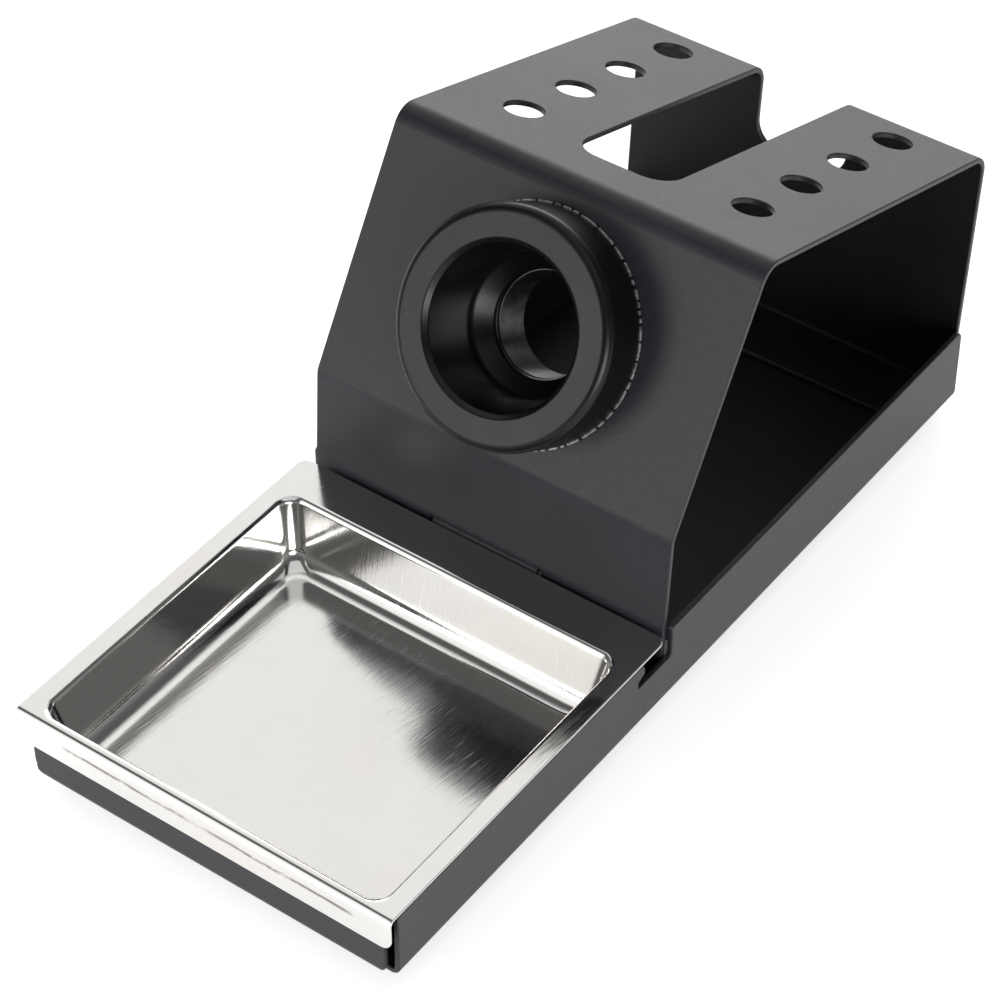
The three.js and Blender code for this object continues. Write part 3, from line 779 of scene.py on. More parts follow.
def bare_steel(look):
    """Drawn steel with a mottled, slightly heat-stained surface."""
    finish = new_finish("bare_steel")
    steel = Vector(look.steel_colour)
    mottle = finish.speckle(0.0022, detail=4.0, roughness=0.7)
    fine = finish.bump(finish.speckle(0.0004), 0.00001, 0.5)
    colour = finish.drift(mottle, steel * 0.6, steel, 0.35, 0.65)
    roughness = mottle * 0.25 + (look.steel_roughness - 0.1)
    normal = finish.bump(mottle, 0.00006, 0.6, Normal=fine)
    return finish.surface(Base_Color=colour, Metallic=1.0, Roughness=roughness, Normal=normal)


def black_rubber(look):
    """Matt black rubber with a fine moulded grain."""
    finish = new_finish("black_rubber")
    rubber = Vector(look.rubber_colour)
    grain = finish.speckle(0.0005, detail=3.0)
    colour = finish.drift(grain, rubber, rubber * 1.8)
    normal = finish.bump(grain, 0.00003, 0.6)
    return finish.surface(Base_Color=colour, Roughness=grain * 0.15 + 0.72, Normal=normal)


def pale_floor(look):
    """Plain pale surface under the stand."""
    finish = new_finish("pale_floor")
    pale = Vector(look.floor_colour)
    clouds = finish.speckle(0.25)
    colour = finish.mix(clouds, pale * 0.99, pale)
    return finish.surface(
        Base_Color=colour,
        Roughness=clouds * 0.05 + 0.8,
        Specular_IOR_Level=0.1,
        Emission_Color=colour,
        Emission_Strength=look.floor_glow,
    )


# ---------------------------------------------------------------- the user's settings


def length_setting(name, description, default):
    """A length that a user can change, in metres."""
    return bpy.props.FloatProperty(
        name=name, description=description, default=default, unit="LENGTH", subtype="DISTANCE", precision=5
    )


def colour_setting(name, description, default):
    """A colour that a user can change."""
    return bpy.props.FloatVectorProperty(
        name=name, description=description, default=default, subtype="COLOR", size=3, min=0.0, max=1.0
    )


def share_setting(name, description, default):
    """A number from 0 to 1 that a user can change."""
    return bpy.props.FloatProperty(
        name=name, description=description, default=default, min=0.0, max=1.0, subtype="FACTOR"
    )


def angle_setting(name, description, default):
    """An angle that a user can change, in radians."""
    return bpy.props.FloatProperty(
        name=name, description=description, default=default, unit="ROTATION", subtype="ANGLE"
    )


def strength_setting(name, description, default):
    """A light's strength that a user can change."""
    return bpy.props.FloatProperty(name=name, description=description, default=default, min=0.0)


def power_setting(name, description, default):
    """A lamp's power that a user can change, in watts."""
    return bpy.props.FloatProperty(
        name=name, description=description, default=default, min=0.0, unit="POWER"
    )


class SteelSettings(bpy.types.PropertyGroup):
    """Coated steel of the pan and the bridge."""

    coat_colour: colour_setting("Coat", "Powder coat on the outside", (0.0225, 0.022, 0.0275))
    # painted shade: the darker colour of the inside faces stands in for the shade inside the stand
    painted_shade_colour: colour_setting("Inside", "Powder coat on the inside of the folds", (0.003, 0.003, 0.0034))
    coat_roughness: share_setting("Roughness", "How matt the coat is", 0.40)
    peel_size: length_setting("Peel size", "Width of the coat's fine ripples", 0.0009)
    peel_depth: length_setting("Peel depth", "Height of the coat's fine ripples", 0.00005)


class TraySettings(bpy.types.PropertyGroup):
    """Pressed aluminium tray."""

    metal_colour: colour_setting("Metal", "Bright aluminium", (0.82, 0.812, 0.795))
    metal_roughness: share_setting("Roughness", "How blurred the tray's reflections are", 0.11)
    grain_width: length_setting("Grain width", "Width of one line of the rolled grain", 0.00028)
    grain_depth: length_setting("Grain depth", "Depth of the rolled grain", 0.00002)
    grain_turn: angle_setting("Grain turn", "Turn of the grain from the stand's length", math.radians(-8))
    crest_radius: length_setting("Crest", "Rounding from the flange into the well", 0.0012)
    fillet_radius: length_setting("Fillet", "Rounding from the well's walls into its floor", 0.0042)
    well_corner: length_setting("Well corner", "Radius of the well's upright corners", 0.0034)
    lip_bend: length_setting("Lip bend", "Rounding from the flange down to the lip", 0.0014)
    dent_depth: length_setting("Dents", "Unevenness of the pressed sheet", 0.00002)
    # a line of darker, rougher broken marks on the lip, below the flange's top
    lip_mark_drop: length_setting("Scuff height", "Scuffed line, below the flange's top", 0.0031)
    lip_mark_strength: share_setting("Scuff", "How strong the scuffed line is", 0.85)


class HolderSettings(bpy.types.PropertyGroup):
    """Moulded holder, its steel sleeve, the rivets and the rubber feet."""

    plastic_colour: colour_setting("Moulding", "Dark moulding", (0.003, 0.003, 0.0036))
    plastic_roughness: share_setting("Roughness", "How matt the moulding is", 0.30)
    steel_colour: colour_setting("Steel", "Bare steel", (0.13, 0.128, 0.125))
    # painted highlight: bright colour of the lip round the cup's foot, standing in for its glint
    glint_colour: colour_setting("Worn edge", "Rubbed edge round the foot of the cup", (0.34, 0.34, 0.35))
    steel_roughness: share_setting("Steel roughness", "How blurred the steel's reflections are", 0.34)
    rubber_colour: colour_setting("Rubber", "Rubber feet", (0.012, 0.012, 0.012))


class StageSettings(bpy.types.PropertyGroup):
    """Floor, lights and camera."""

    floor_colour: colour_setting("Floor", "Pale floor", (0.92, 0.92, 0.92))
    sky_strength: strength_setting("Sky", "Strength of all the light from the sky", 1.0)
    sky_low: strength_setting("Horizon", "Strength of the light near the horizon", 0.28)
    floor_glow: strength_setting("Floor glow", "Light that the floor itself gives", 0.74)
    top_power: power_setting("Top light", "Large soft light above the stand", 1.2)
    azimuth: angle_setting("Azimuth", "Camera's turn round the stand", math.radians(36.2268))
    elevation: angle_setting("Elevation", "Camera's height above the horizon", math.radians(42.8586))
    roll: angle_setting("Roll", "Camera's lean", math.radians(-0.148))
    distance: length_setting("Distance", "From the camera to its target", 0.575466)
    focal_length: bpy.props.FloatProperty(
        name="Focal length", description="Lens, in millimetres on a 36 mm sensor", default=120.696, min=1.0
    )


# ---------------------------------------------------------------- base pan


def pan_outline(channel, front):
    """Flat blank of the pan: across the channel, and from the front wall's top to the back edge."""
    middle = channel.length / 2

    def reach(height):
        return channel.past(2, height) - middle

    low, high, notch = reach(LOW_WALL_TOP), reach(WALL_HEIGHT), reach(NOTCH_FLOOR)
    relief = reach(NOTCH_FLOOR + RELIEF_HEIGHT)
    half = HALF_WIDTH - FRONT_WALL_INSET
    wall_top = FRONT_FOLD_REACH - front.past(1, FRONT_WALL_HEIGHT)
    wall_foot = FRONT_FOLD_REACH - front.past(1, PAN_BEND)
    right = [
        corner(half, wall_top, SMALL_CORNER),
        corner(half, wall_foot, PAN_BEND),
        corner(half - PAN_BEND, CORNER_RELIEF, SMALL_CORNER / 4),
        corner(low, CORNER_RELIEF, SMALL_CORNER),
        corner(low, LOW_WALL_END, WALL_CORNER),
        corner(relief + SMALL_CORNER, LOW_WALL_END, SMALL_CORNER / 4),
        corner(relief, LOW_WALL_END - RELIEF_REACH, SMALL_CORNER / 4),
        corner(notch, LOW_WALL_END - RELIEF_REACH, SMALL_CORNER / 4),
        corner(notch, HIGH_WALL_START, SMALL_CORNER),
        corner(high, HIGH_WALL_START, SMALL_CORNER),
        corner(high, BASE_LENGTH, WALL_CORNER),
    ]
    return sheet_loop(mirrored(right), COAT_EDGE)


def rivet_places():
    """Axes of the four rivets, seen from above."""
    return [(side * (HALF_WIDTH - RIVET_EDGE), y) for y in RIVET_ROWS for side in (-1, 1)]


def build_pan(steel):
    """Folded steel pan: floor, front wall and two stepped side walls."""
    channel = Fold(
        [
            corner(-HALF_WIDTH, WALL_HEIGHT),
            corner(-HALF_WIDTH, 0, PAN_BEND),
            corner(HALF_WIDTH, 0, PAN_BEND),
            corner(HALF_WIDTH, WALL_HEIGHT),
        ],
        outer_side=-1,
    )
    reach = FRONT_FOLD_REACH
    front = Fold([corner(reach, 0), corner(0, 0, PAN_BEND), corner(0, FRONT_WALL_HEIGHT)], outer_side=1)
    middle = channel.length / 2
    front_half = HALF_WIDTH - FRONT_WALL_INSET

    def fold_at(flat):
        if flat.y < PAN_BEND and abs(flat.x) <= front_half:
            place, out = front.at(reach - flat.y)
            return Vector((flat.x, place.x, place.y)), Vector((0, out.x, out.y))
        place, out = channel.at(flat.x + middle)
        return Vector((place.x, flat.y, place.y)), Vector((out.x, 0, out.y))

    holes = [circle_loop(x, y, RIVET_SHANK / 2 + FIT, RIVET_HOLE_POINTS) for x, y in rivet_places()]
    rows = [((s - middle, 0), (s - middle, BASE_LENGTH + 1)) for s in channel.bend_rows()]
    rows += [((-front_half, reach - s), (front_half, reach - s)) for s in front.bend_rows()]
    loops = [pan_outline(channel, front), *holes]
    bent_steel("pan_folded_steel", "base_pan", loops, fold_at, rows, steel)


# ---------------------------------------------------------------- bridge


FOOT, KNEE_BEND, CREST_BEND, BACK_BEND, HEEL = 1, 2, 3, 4, 5  # corners of the bridge's fold, in order


def bridge_fold():
    """Side view of the bridge: floor flange, foot, slope, rack, back and floor flange."""
    return Fold(
        [
            corner(FOOT_Y + BRIDGE_FLANGE, FLOOR_TOP),
            corner(FOOT_Y + FLOOR_TOP * LEAN, FLOOR_TOP, FLANGE_BEND),
            corner(KNEE.x, KNEE.y, BRIDGE_BEND),
            corner(CREST.x, CREST.y, BRIDGE_BEND),
            corner(BACK_CORNER.x, BACK_CORNER.y, BRIDGE_BEND),
            corner(BACK_Y + FLOOR_TOP * LEAN, FLOOR_TOP, FLANGE_BEND),
            corner(BACK_Y - BRIDGE_FLANGE, FLOOR_TOP),
        ],
        outer_side=1,
    )


def tongue_fold():
    """Side view of the tongue: down the foot panel's face, then forward under the tray's flange."""
    root = LOW_WALL_TOP + SHEET
    face = FOOT_Y + LOW_WALL_TOP * LEAN
    return Fold(
        [
            corner(FOOT_Y + root * LEAN, root),
            corner(face, LOW_WALL_TOP, SHEET),
            corner(face - TONGUE_REACH, LOW_WALL_TOP),
        ],
        outer_side=-1,
    )


def bridge_loops(fold, root, tip):
    """Flat blank of the bridge: its outline, slot, holes and the slit round the tongue."""
    narrow = fold.past(FOOT, FLANGE_BEND), fold.before(HEEL, FLANGE_BEND)
    right = [
        corner(FLANGE_HALF, 0, SMALL_CORNER),
        corner(FLANGE_HALF, narrow[0], SMALL_CORNER / 2),
        corner(BRIDGE_HALF, narrow[0], SMALL_CORNER / 2),
        corner(BRIDGE_HALF, narrow[1], SMALL_CORNER / 2),
        corner(FLANGE_HALF, narrow[1], SMALL_CORNER / 2),
        corner(FLANGE_HALF, fold.length, SMALL_CORNER),
    ]
    slot_ends = fold.past(CREST_BEND, SLOT_START), fold.past(BACK_BEND, SLOT_DROP)
    slot = rectangle(SLOT_WIDTH / 2, *slot_ends, SLOT_CORNER)
    tongue, window = TONGUE_WIDTH / 2, TONGUE_WIDTH / 2 + TONGUE_RELIEF
    bottom = fold.past(FOOT, LOW_WALL_TOP - SHEET - TONGUE_REACH - FLOOR_TOP)
    right_slit = [
        corner(window, bottom, SMALL_CORNER / 2),
        corner(window, root, TONGUE_RELIEF / 3),
        corner(tongue, root, TONGUE_RELIEF / 3),
        corner(tongue, tip, SMALL_CORNER),
    ]
    loops = [sheet_loop(mirrored(right), COAT_EDGE)]
    loops += [sheet_loop(hole, COAT_EDGE, is_hole=True) for hole in (slot, mirrored(right_slit))]
    holder = fold.past(KNEE_BEND, HOLDER_HEIGHT_ON_SLOPE)
    loops.append(circle_loop(0, holder, BODY_RADIUS + TURNED_FIT, HOLDER_HOLE_POINTS))
    radius = TIP_HOLE_RADIUS - TIP_HOLE_COAT
    for side in (-1, 1):
        for k in range(TIP_HOLE_COUNT):
            along = fold.past(CREST_BEND, TIP_HOLE_START + k * TIP_HOLE_PITCH)
            loops.append(circle_loop(side * TIP_ROW_SPACING / 2, along, radius, TIP_HOLE_POINTS))
    for x, y in rivet_places():
        near_front = y < BASE_LENGTH / 2
        along = FOOT_Y + BRIDGE_FLANGE - y if near_front else fold.length - (y - BACK_Y + BRIDGE_FLANGE)
        loops.append(circle_loop(x, along, RIVET_SHANK / 2 + FIT, RIVET_HOLE_POINTS))
    return loops


def build_bridge(steel):
    """Bridge bent from one sheet, with its slot, tip holes, holder hole and lanced tongue."""
    fold = bridge_fold()
    tongue = tongue_fold()
    root = fold.past(FOOT, LOW_WALL_TOP + SHEET - FLOOR_TOP)
    tip = root - tongue.length
    slit_middle = TONGUE_WIDTH / 2 + TONGUE_RELIEF / 2

    def fold_at(flat):
        on_tongue = abs(flat.x) < slit_middle and tip - TONGUE_RELIEF / 2 < flat.y < root - 1e-4
        place, out = tongue.at(root - flat.y) if on_tongue else fold.at(flat.y)
        return Vector((flat.x, place.x, place.y)), Vector((0, out.x, out.y))

    wide = BRIDGE_HALF + 1
    rows = [((-wide, s), (wide, s)) for s in fold.bend_rows()]
    rows += [((-slit_middle, root - s), (slit_middle, root - s)) for s in tongue.bend_rows(TONGUE_STEPS)]
    rows.append(((-slit_middle, root), (slit_middle, root)))
    loops = bridge_loops(fold, root, tip)
    bent_steel("bridge_bent_sheet", "bridge", loops, fold_at, rows, steel)


# ---------------------------------------------------------------- tray


def well_ring(half, front, back, radius):
    """Rounded rectangle seen from above, always with the same number of points."""
    centres = [
        (half - radius, back - radius),
        (-half + radius, back - radius),
        (-half + radius, front + radius),
        (half - radius, front + radius),
    ]
    ring = []
    for k, (x, y) in enumerate(centres):
        for j in range(CORNER_POINTS + 1):
            angle = math.pi / 2 * (k + j / CORNER_POINTS)
            ring.append(Vector((x + radius * math.cos(angle), y + radius * math.sin(angle))))
        angle = math.pi / 2 * (k + 1)
        next_x, next_y = centres[(k + 1) % 4]
        start = ring[-1]
        end = Vector((next_x + radius * math.cos(angle), next_y + radius * math.sin(angle)))
        ring += [start.lerp(end, j / SIDE_POINTS) for j in range(1, SIDE_POINTS)]
    return ring


def well_rings(tray, bend_start):
    """Rings from the crest's outer edge down to the floor's edge, as (points, height)."""
    crest, fillet = tray.crest_radius / MM, tray.fillet_radius / MM
    depth = TRAY_TOP - WELL_FLOOR
    inset = depth * math.tan(math.radians(WELL_DRAFT))
    setback = crest * math.tan(math.radians((90 - WELL_DRAFT) / 2))
    front = bend_start + setback + TRAY_EDGE
    back = TRAY_BACK - WELL_BACK_FLANGE
    section = [
        corner(setback + 1e-3, TRAY_TOP),
        corner(0, TRAY_TOP, crest),
        corner(-inset, WELL_FLOOR, fillet),
        corner(-inset - fillet, WELL_FLOOR),
    ]
    wall = round_path(section, closed=False, step=math.radians(6))[0][1:]
    upper, lower = wall[: len(wall) // 2], wall[len(wall) // 2 :]
    between = [upper[-1].lerp(lower[0], k / WALL_RINGS) for k in range(1, WALL_RINGS)]
    radius = tray.well_corner / MM
    heights = [*upper, *between, *lower]
    return [(well_ring(WELL_WIDTH / 2 + x, front - x, back + x, radius), z) for x, z in heights]


def dented(point, normal, depth):
    """A point of the pressed sheet, moved a little by the unevenness of the pressing."""
    broad = noise.noise(point / BROAD_DENT)
    small = noise.noise(point / SMALL_DENT + SMALL_DENT_SHIFT)
    return point + normal * (depth * (broad + 0.35 * small))


def tray_surface(tray):
    """Upper face of the tray: points and faces, from the lip round the flange and down into the well."""
    bend = tray.lip_bend / MM
    bend_start = TRAY_FRONT + bend
    fold_start = TRAY_FRONT + 3 * bend
    lip = Fold(
        [
            corner(fold_start, TRAY_TOP),
            corner(TRAY_FRONT, TRAY_TOP, bend),
            corner(TRAY_FRONT, TRAY_TOP - LIP_HEIGHT),
        ],
        outer_side=-1,
    )
    rings = well_rings(tray, bend_start)
    crest_ring = rings[0][0]
    half = TRAY_WIDTH / 2
    lip_end = fold_start - lip.length
    right = [corner(half, lip_end, LIP_CORNER), corner(half, TRAY_BACK, FLANGE_CORNER)]
    outline = sheet_loop(mirrored(right), TRAY_EDGE)
    wide = half + 1
    rows = [((-wide, fold_start - s), (wide, fold_start - s)) for s in lip.bend_rows(LIP_STEPS)]
    loops = [crest_ring[::-1], outline]
    flat, faces, place = flat_blank(loops, rows, flange_grid(loops, lip_end))

    def bent(p):
        if p.y >= bend_start:
            return Vector((p.x, p.y, TRAY_TOP))
        at, _out = lip.at(fold_start - p.y)
        return Vector((p.x, at.x, at.y))

    points = [bent(p) for p in flat]
    count = len(crest_ring)
    before = [place[count - 1 - k] for k in range(count)]
    centre = sum(crest_ring, Vector((0, 0))) / count
    edge = rings[-1][0]
    for k in range(1, FLOOR_RINGS):
        share = 1 - k / FLOOR_RINGS
        rings.append(([centre + (p - centre) * share for p in edge], WELL_FLOOR))
    for ring, z in rings[1:]:
        before = add_ring(points, faces, before, [Vector((x, y, z)) for x, y in ring])
    points.append(Vector((centre.x, centre.y, WELL_FLOOR)))
    faces += [[before[k], before[(k + 1) % count], len(points) - 1] for k in range(count)]
    return points, faces


def add_ring(points, faces, before, ring):
    """Joins a new ring of points to the one before it and returns the new ring's numbers."""
    start = len(points)
    points += ring
    here = list(range(start, start + len(ring)))
    for k in range(len(ring)):
        after = (k + 1) % len(ring)
        faces.append([before[k], before[after], here[after], here[k]])
    return here


def flange_grid(loops, lip_end):
    """Points spread over the flange and the lip, clear of their edges."""
    edge = [p for loop in loops for p in loop]
    grid = []
    for i in range(1, int(TRAY_WIDTH / FLANGE_SPACING)):
        for j in range(1, int((TRAY_BACK - lip_end) / FLANGE_SPACING)):
            p = Vector((i * FLANGE_SPACING - TRAY_WIDTH / 2, j * FLANGE_SPACING + lip_end))
            if is_inside(p, loops) and all((p - q).length > FLANGE_CLEARANCE for q in edge):
                grid.append(p)
    return grid


def build_tray(tray):
    """Pressed aluminium tray with a folded lip, lying loose in the pan."""
    points, faces = tray_surface(tray)
    normals = face_normals(points, faces)
    if normals[-1].z < 0:
        faces = [f[::-1] for f in faces]
        normals = [-n for n in normals]
    depth = tray.dent_depth / MM
    points = [dented(p, n, depth) for p, n in zip(points, normals)]
    normals = face_normals(points, faces)
    points, normals, faces, sides = thicken(points, normals, faces, TRAY_SHEET, TRAY_EDGE)
    points = [p + Vector((TRAY_SHIFT, 0, 0)) for p in points]
    metal = bright_aluminium(tray)
    piece = make_piece("tray_pressed_sheet", points, faces, [metal], None, normals)
    finish_piece(piece, "tray", "bright_aluminium", "tray")


# ---------------------------------------------------------------- iron holder


def cup_outline():
    """Half section of the moulded cup: body, front ring, mouth and stepped bore."""
    sleeve = SLEEVE_BORE_RADIUS + SLEEVE_WALL + TURNED_FIT
    body_end = SLEEVE_START + SLEEVE_LENGTH - SLEEVE_WALL - TURNED_FIT
    shelf = SLEEVE_BORE_RADIUS + FIT
    return [
        corner(sleeve, -body_end, MOULDED_EDGE),
        corner(BODY_RADIUS, -body_end, SMALL_CORNER),
        corner(BODY_RADIUS, TURNED_FIT, TURNED_EDGE),
        corner(RING_RADIUS, TURNED_FIT, MOULDED_EDGE),
        corner(RING_RADIUS, HOLDER_REACH, RING_SHOULDER),
        corner(MOUTH_RADIUS + MOUTH_CHAMFER, HOLDER_REACH, MOUTH_EDGE),
        corner(MOUTH_RADIUS, HOLDER_REACH - MOUTH_CHAMFER, MOUTH_EDGE),
        corner(THROAT_RADIUS, -THROAT_DEPTH, THROAT_ROUNDING),
        corner(shelf, -SLEEVE_START + 1, SHELF_ROUNDING),
        corner(shelf, -SLEEVE_START + TURNED_FIT, FINE_EDGE),
        corner(sleeve, -SLEEVE_START + TURNED_FIT, FINE_EDGE),
    ]


def reshape_rim(points, place, segments, inner, new_reach):
    """Moves those points of a turned solid that lie further than inner from its axis.

    new_reach turns a point's angle round the axis and its reach from it into its new reach."""
    centre = place.translation
    axis = place.col[2].to_3d()
    per_turn = len(points) // segments
    for j, point in enumerate(points):
        angle = 2 * math.pi * (j // per_turn) / segments
        arm = point - centre
        along = axis * arm.dot(axis)
        spoke = arm - along
        if spoke.length > inner:
            points[j] = centre + along + spoke.normalized() * new_reach(angle, spoke.length)


def cup_lip(place, segments=720):
    """Thin lip round the foot of the cup, broken by small gaps, some short and some long."""
    draws = random.Random(CUP_LIP_SEED)
    gaps = []
    angle = 0.0
    while angle < 2 * math.pi:
        angle += math.radians(draws.uniform(*CUP_LIP_SPACING))
        gaps.append((angle, math.radians(draws.uniform(*CUP_LIP_GAP))))
    hidden = RING_RADIUS - FINE_EDGE
    low = TURNED_FIT + CUP_LIP_RISE
    high = low + CUP_LIP_DEPTH
    outline = [
        corner(RING_RADIUS - CUP_LIP_ROOT, low, CUP_LIP_ROOT_EDGE),
        corner(CUP_LIP_RADIUS, low, FINE_EDGE),
        corner(CUP_LIP_RADIUS, high, FINE_EDGE),
        corner(RING_RADIUS - CUP_LIP_ROOT, high, CUP_LIP_ROOT_EDGE),
    ]

    def new_reach(angle, reach):
        in_gap = any(abs(angle - middle) < half for middle, half in gaps)
        return hidden if in_gap else reach

    points, normals, faces = turned_solid(outline, place, segments)
    reshape_rim(points, place, segments, hidden, new_reach)
    return points, normals, faces


def ring_nut(place, segments=144):
    """Ring nut behind the panel, its outer face waved into grips."""
    inner, outer = BODY_RADIUS + TURNED_FIT, BODY_RADIUS + NUT_WALL
    front = -SHEET - TURNED_FIT
    outline = [
        corner(inner, front - NUT_WALL, SOFT_EDGE),
        corner(outer, front - NUT_WALL, NUT_BACK_EDGE),
        corner(outer, front, SOFT_EDGE),
        corner(inner, front, MOULDED_EDGE),
    ]

    def new_reach(angle, reach):
        wave = math.cos(angle * NUT_GRIPS)
        return reach - NUT_GRIP_DEPTH * max(0.0, wave - NUT_GRIP_START) / (1 - NUT_GRIP_START)

    points, _normals, faces = turned_solid(outline, place, segments)
    reshape_rim(points, place, segments, (inner + outer) / 2, new_reach)
    return points, faces


def sleeve_outline():
    """Half section of the steel sleeve, with the rim at its back end."""
    outer = SLEEVE_BORE_RADIUS + SLEEVE_WALL
    end = SLEEVE_START + SLEEVE_LENGTH
    return [
        corner(SLEEVE_BORE_RADIUS, -end, TURNED_EDGE),
        corner(outer + SLEEVE_RIM, -end, TURNED_EDGE),
        corner(outer + SLEEVE_RIM, -end + SLEEVE_WALL, TURNED_EDGE),
        corner(outer, -end + SLEEVE_WALL, TURNED_EDGE),
        corner(outer, -SLEEVE_START, TURNED_EDGE),
        corner(SLEEVE_BORE_RADIUS, -SLEEVE_START, TURNED_EDGE),
    ]


def build_holder(look):
    """Moulded cup with its ring nut, and the steel sleeve in its bore."""
    place = holder_place()
    plastic = moulded_plastic(look)
    points, normals, faces = turned_solid(cup_outline(), place, 128)
    lip_points, lip_normals, lip_faces = cup_lip(place)
    sides = [0] * len(faces) + [1] * len(lip_faces)
    faces += [[v + len(points) for v in face] for face in lip_faces]
    points += lip_points
    normals += lip_normals
    # the lip round the cup's foot takes the painted highlight material
    cup = make_piece("holder_moulded_cup", points, faces, [plastic, painted_glint_edge(look)], sides, normals)
    finish_piece(cup, "stand", "moulded_plastic", "holder_ring")

    points, normals, faces = turned_solid(sleeve_outline(), place)
    sleeve = make_piece("holder_steel_sleeve", points, faces, [bare_steel(look)], normals=normals)
    finish_piece(sleeve, "stand", "bare_steel", "holder_sleeve")

    nut = make_piece("holder_ring_nut", *ring_nut(place), [plastic])
    nut.data.set_sharp_from_angle(angle=math.radians(35))
    finish_piece(nut, "stand", "moulded_plastic", "holder_nut")


# ---------------------------------------------------------------- rivets and feet


def stud_places(inset, front, back):
    """Inputs of a layout of studs, in metres, from their inset at the sides and their two rows."""
    return {
        "Spacing across": 2 * (HALF_WIDTH - inset) * MM,
        "Spacing along": (back - front) * MM,
        "Middle": ((front + back) / 2 + ROW_SHIFT.y) * MM,
        "Height": ROW_SHIFT.z * MM,
    }


def stud_layout(name, places, material):
    """Geometry nodes that put a stud at each corner of a rectangle."""
    group = bpy.data.node_groups.new(name, "GeometryNodeTree")
    group.interface.new_socket("Stud", in_out="INPUT", socket_type="NodeSocketGeometry")
    for label in places:
        group.interface.new_socket(label, in_out="INPUT", socket_type="NodeSocketFloat")
    group.interface.new_socket("Studs", in_out="OUTPUT", socket_type="NodeSocketGeometry")
    tree = NodeTree(group)
    given = {label: tree.node("NodeGroupInput", {}, {}, label) for label in ("Stud", *places)}
    spacing = {"Size X": given["Spacing across"], "Size Y": given["Spacing along"]}
    grid = tree.node("GeometryNodeMeshGrid", {}, {"Vertices X": 2, "Vertices Y": 2, **spacing})
    offset = tree.node("ShaderNodeCombineXYZ", {}, {"Y": given["Middle"], "Z": given["Height"]})
    corners = tree.node("GeometryNodeSetPosition", {}, {"Geometry": grid, "Offset": offset})
    studs = tree.node("GeometryNodeInstanceOnPoints", {}, {"Points": corners, "Instance": given["Stud"]})
    real = tree.node("GeometryNodeRealizeInstances", {}, {"Geometry": studs})
    coated = tree.node("GeometryNodeSetMaterial", {}, {"Geometry": real, "Material": material})
    tree.node("NodeGroupOutput", {}, {"Studs": coated})
    return group


def repeated_studs(name, solid, places, material, smooth_angle):
    """One piece made of the same stud at four places, from geometry nodes."""
    points, faces = solid
    mesh = bpy.data.meshes.new(name)
    mesh.from_pydata([p * MM for p in points], [], faces)
    mesh.shade_smooth()
    mesh.set_sharp_from_angle(angle=smooth_angle)
    source = bpy.data.objects.new(name + "_source", mesh)
    bpy.context.scene.collection.objects.link(source)
    modifier = source.modifiers.new("repeat", "NODES")
    modifier.node_group = stud_layout(name + "_layout", places, material)
    for socket in modifier.node_group.interface.items_tree:
        if socket.name in places:
            modifier[socket.identifier] = places[socket.name]
    evaluated = source.evaluated_get(bpy.context.evaluated_depsgraph_get())
    plain = bpy.data.meshes.new_from_object(evaluated)
    plain.name = name
    source.modifiers.clear()
    bpy.data.objects.remove(source)
    piece = bpy.data.objects.new(name, plain)
    bpy.context.scene.collection.objects.link(piece)
    return piece


def build_rivets(look):
    """Four rivets that join the bridge's floor flanges to the pan."""
    head, tail = FLOOR_TOP + SHEET + FIT / 2, -FIT / 2
    rise = RIVET_HEAD / 6
    outline = [
        corner(0, tail - rise),
        corner(RIVET_TAIL / 2, tail - rise, rise / 3),
        corner(RIVET_TAIL / 2, tail, RIVET_ROUNDING),
        corner(RIVET_SHANK / 2, tail, RIVET_ROUNDING),
        corner(RIVET_SHANK / 2, head, RIVET_ROUNDING),
        corner(RIVET_HEAD / 2, head, RIVET_ROUNDING),
        corner(RIVET_HEAD / 2, head + rise, rise * 0.9),
        corner(0, head + rise),
    ]
    rivet = domed_solid(outline, 32)
    places = stud_places(RIVET_EDGE, *RIVET_ROWS)
    piece = repeated_studs("rivets", rivet, places, bare_steel(look), math.radians(40))
    finish_piece(piece, "stand", "bare_steel", *(f"rivet_{k}" for k in range(1, 5)))


def build_feet(look):
    """Four rubber bumpers under the pan, each with a dished middle."""
    radius = FOOT_DIAMETER / 2
    outline = [
        corner(0, -FOOT_HEIGHT + FOOT_DISH),
        corner(radius * 0.45, -FOOT_HEIGHT + FOOT_DISH, SOFT_EDGE),
        corner(radius * 0.55, -FOOT_HEIGHT, SOFT_EDGE),
        corner(radius - FOOT_HEIGHT / 3, -FOOT_HEIGHT, SMALL_CORNER),
        corner(radius, -FIT / 2, TURNED_EDGE),
        corner(0, -FIT / 2),
    ]
    foot = domed_solid(outline, 48)
    places = stud_places(FOOT_INSET, *FOOT_ROWS)
    piece = repeated_studs("rubber_feet", foot, places, black_rubber(look), math.radians(50))
    finish_piece(piece, "stand", "rubber", *(f"rubber_foot_{k}" for k in range(1, 5)))


# ---------------------------------------------------------------- stage


SKY_COLOUR = (1.0, 0.995, 0.99)
TOP_LIGHT_PLACE = Vector((0.15, -0.15, 1.0))  # metres
TOP_LIGHT_SIZE = 0.8
FLOOR_REACH = 3.0
SENSOR_WIDTH = 36.0  # millimetres
CAMERA_TARGET = Vector((10.6718, 69.4405, 40.0))  # millimetres, as the pieces are drawn
SOFT_BOXES = (  # direction, half angles of the bright middle and of the whole box in degrees, strength
    ((-0.433, 0.591, 0.68), 22, 44, 0.88),
    ((-0.433, -0.68, 0.59), 6, 18, 1.00),
    ((-0.433, 0.85, 0.32), 5, 24, 2.60),
    ((-0.38, -0.90, 0.17), 9, 18, 4.20),
    ((0.80, -0.58, 0.10), 6, 22, 9.00),
)


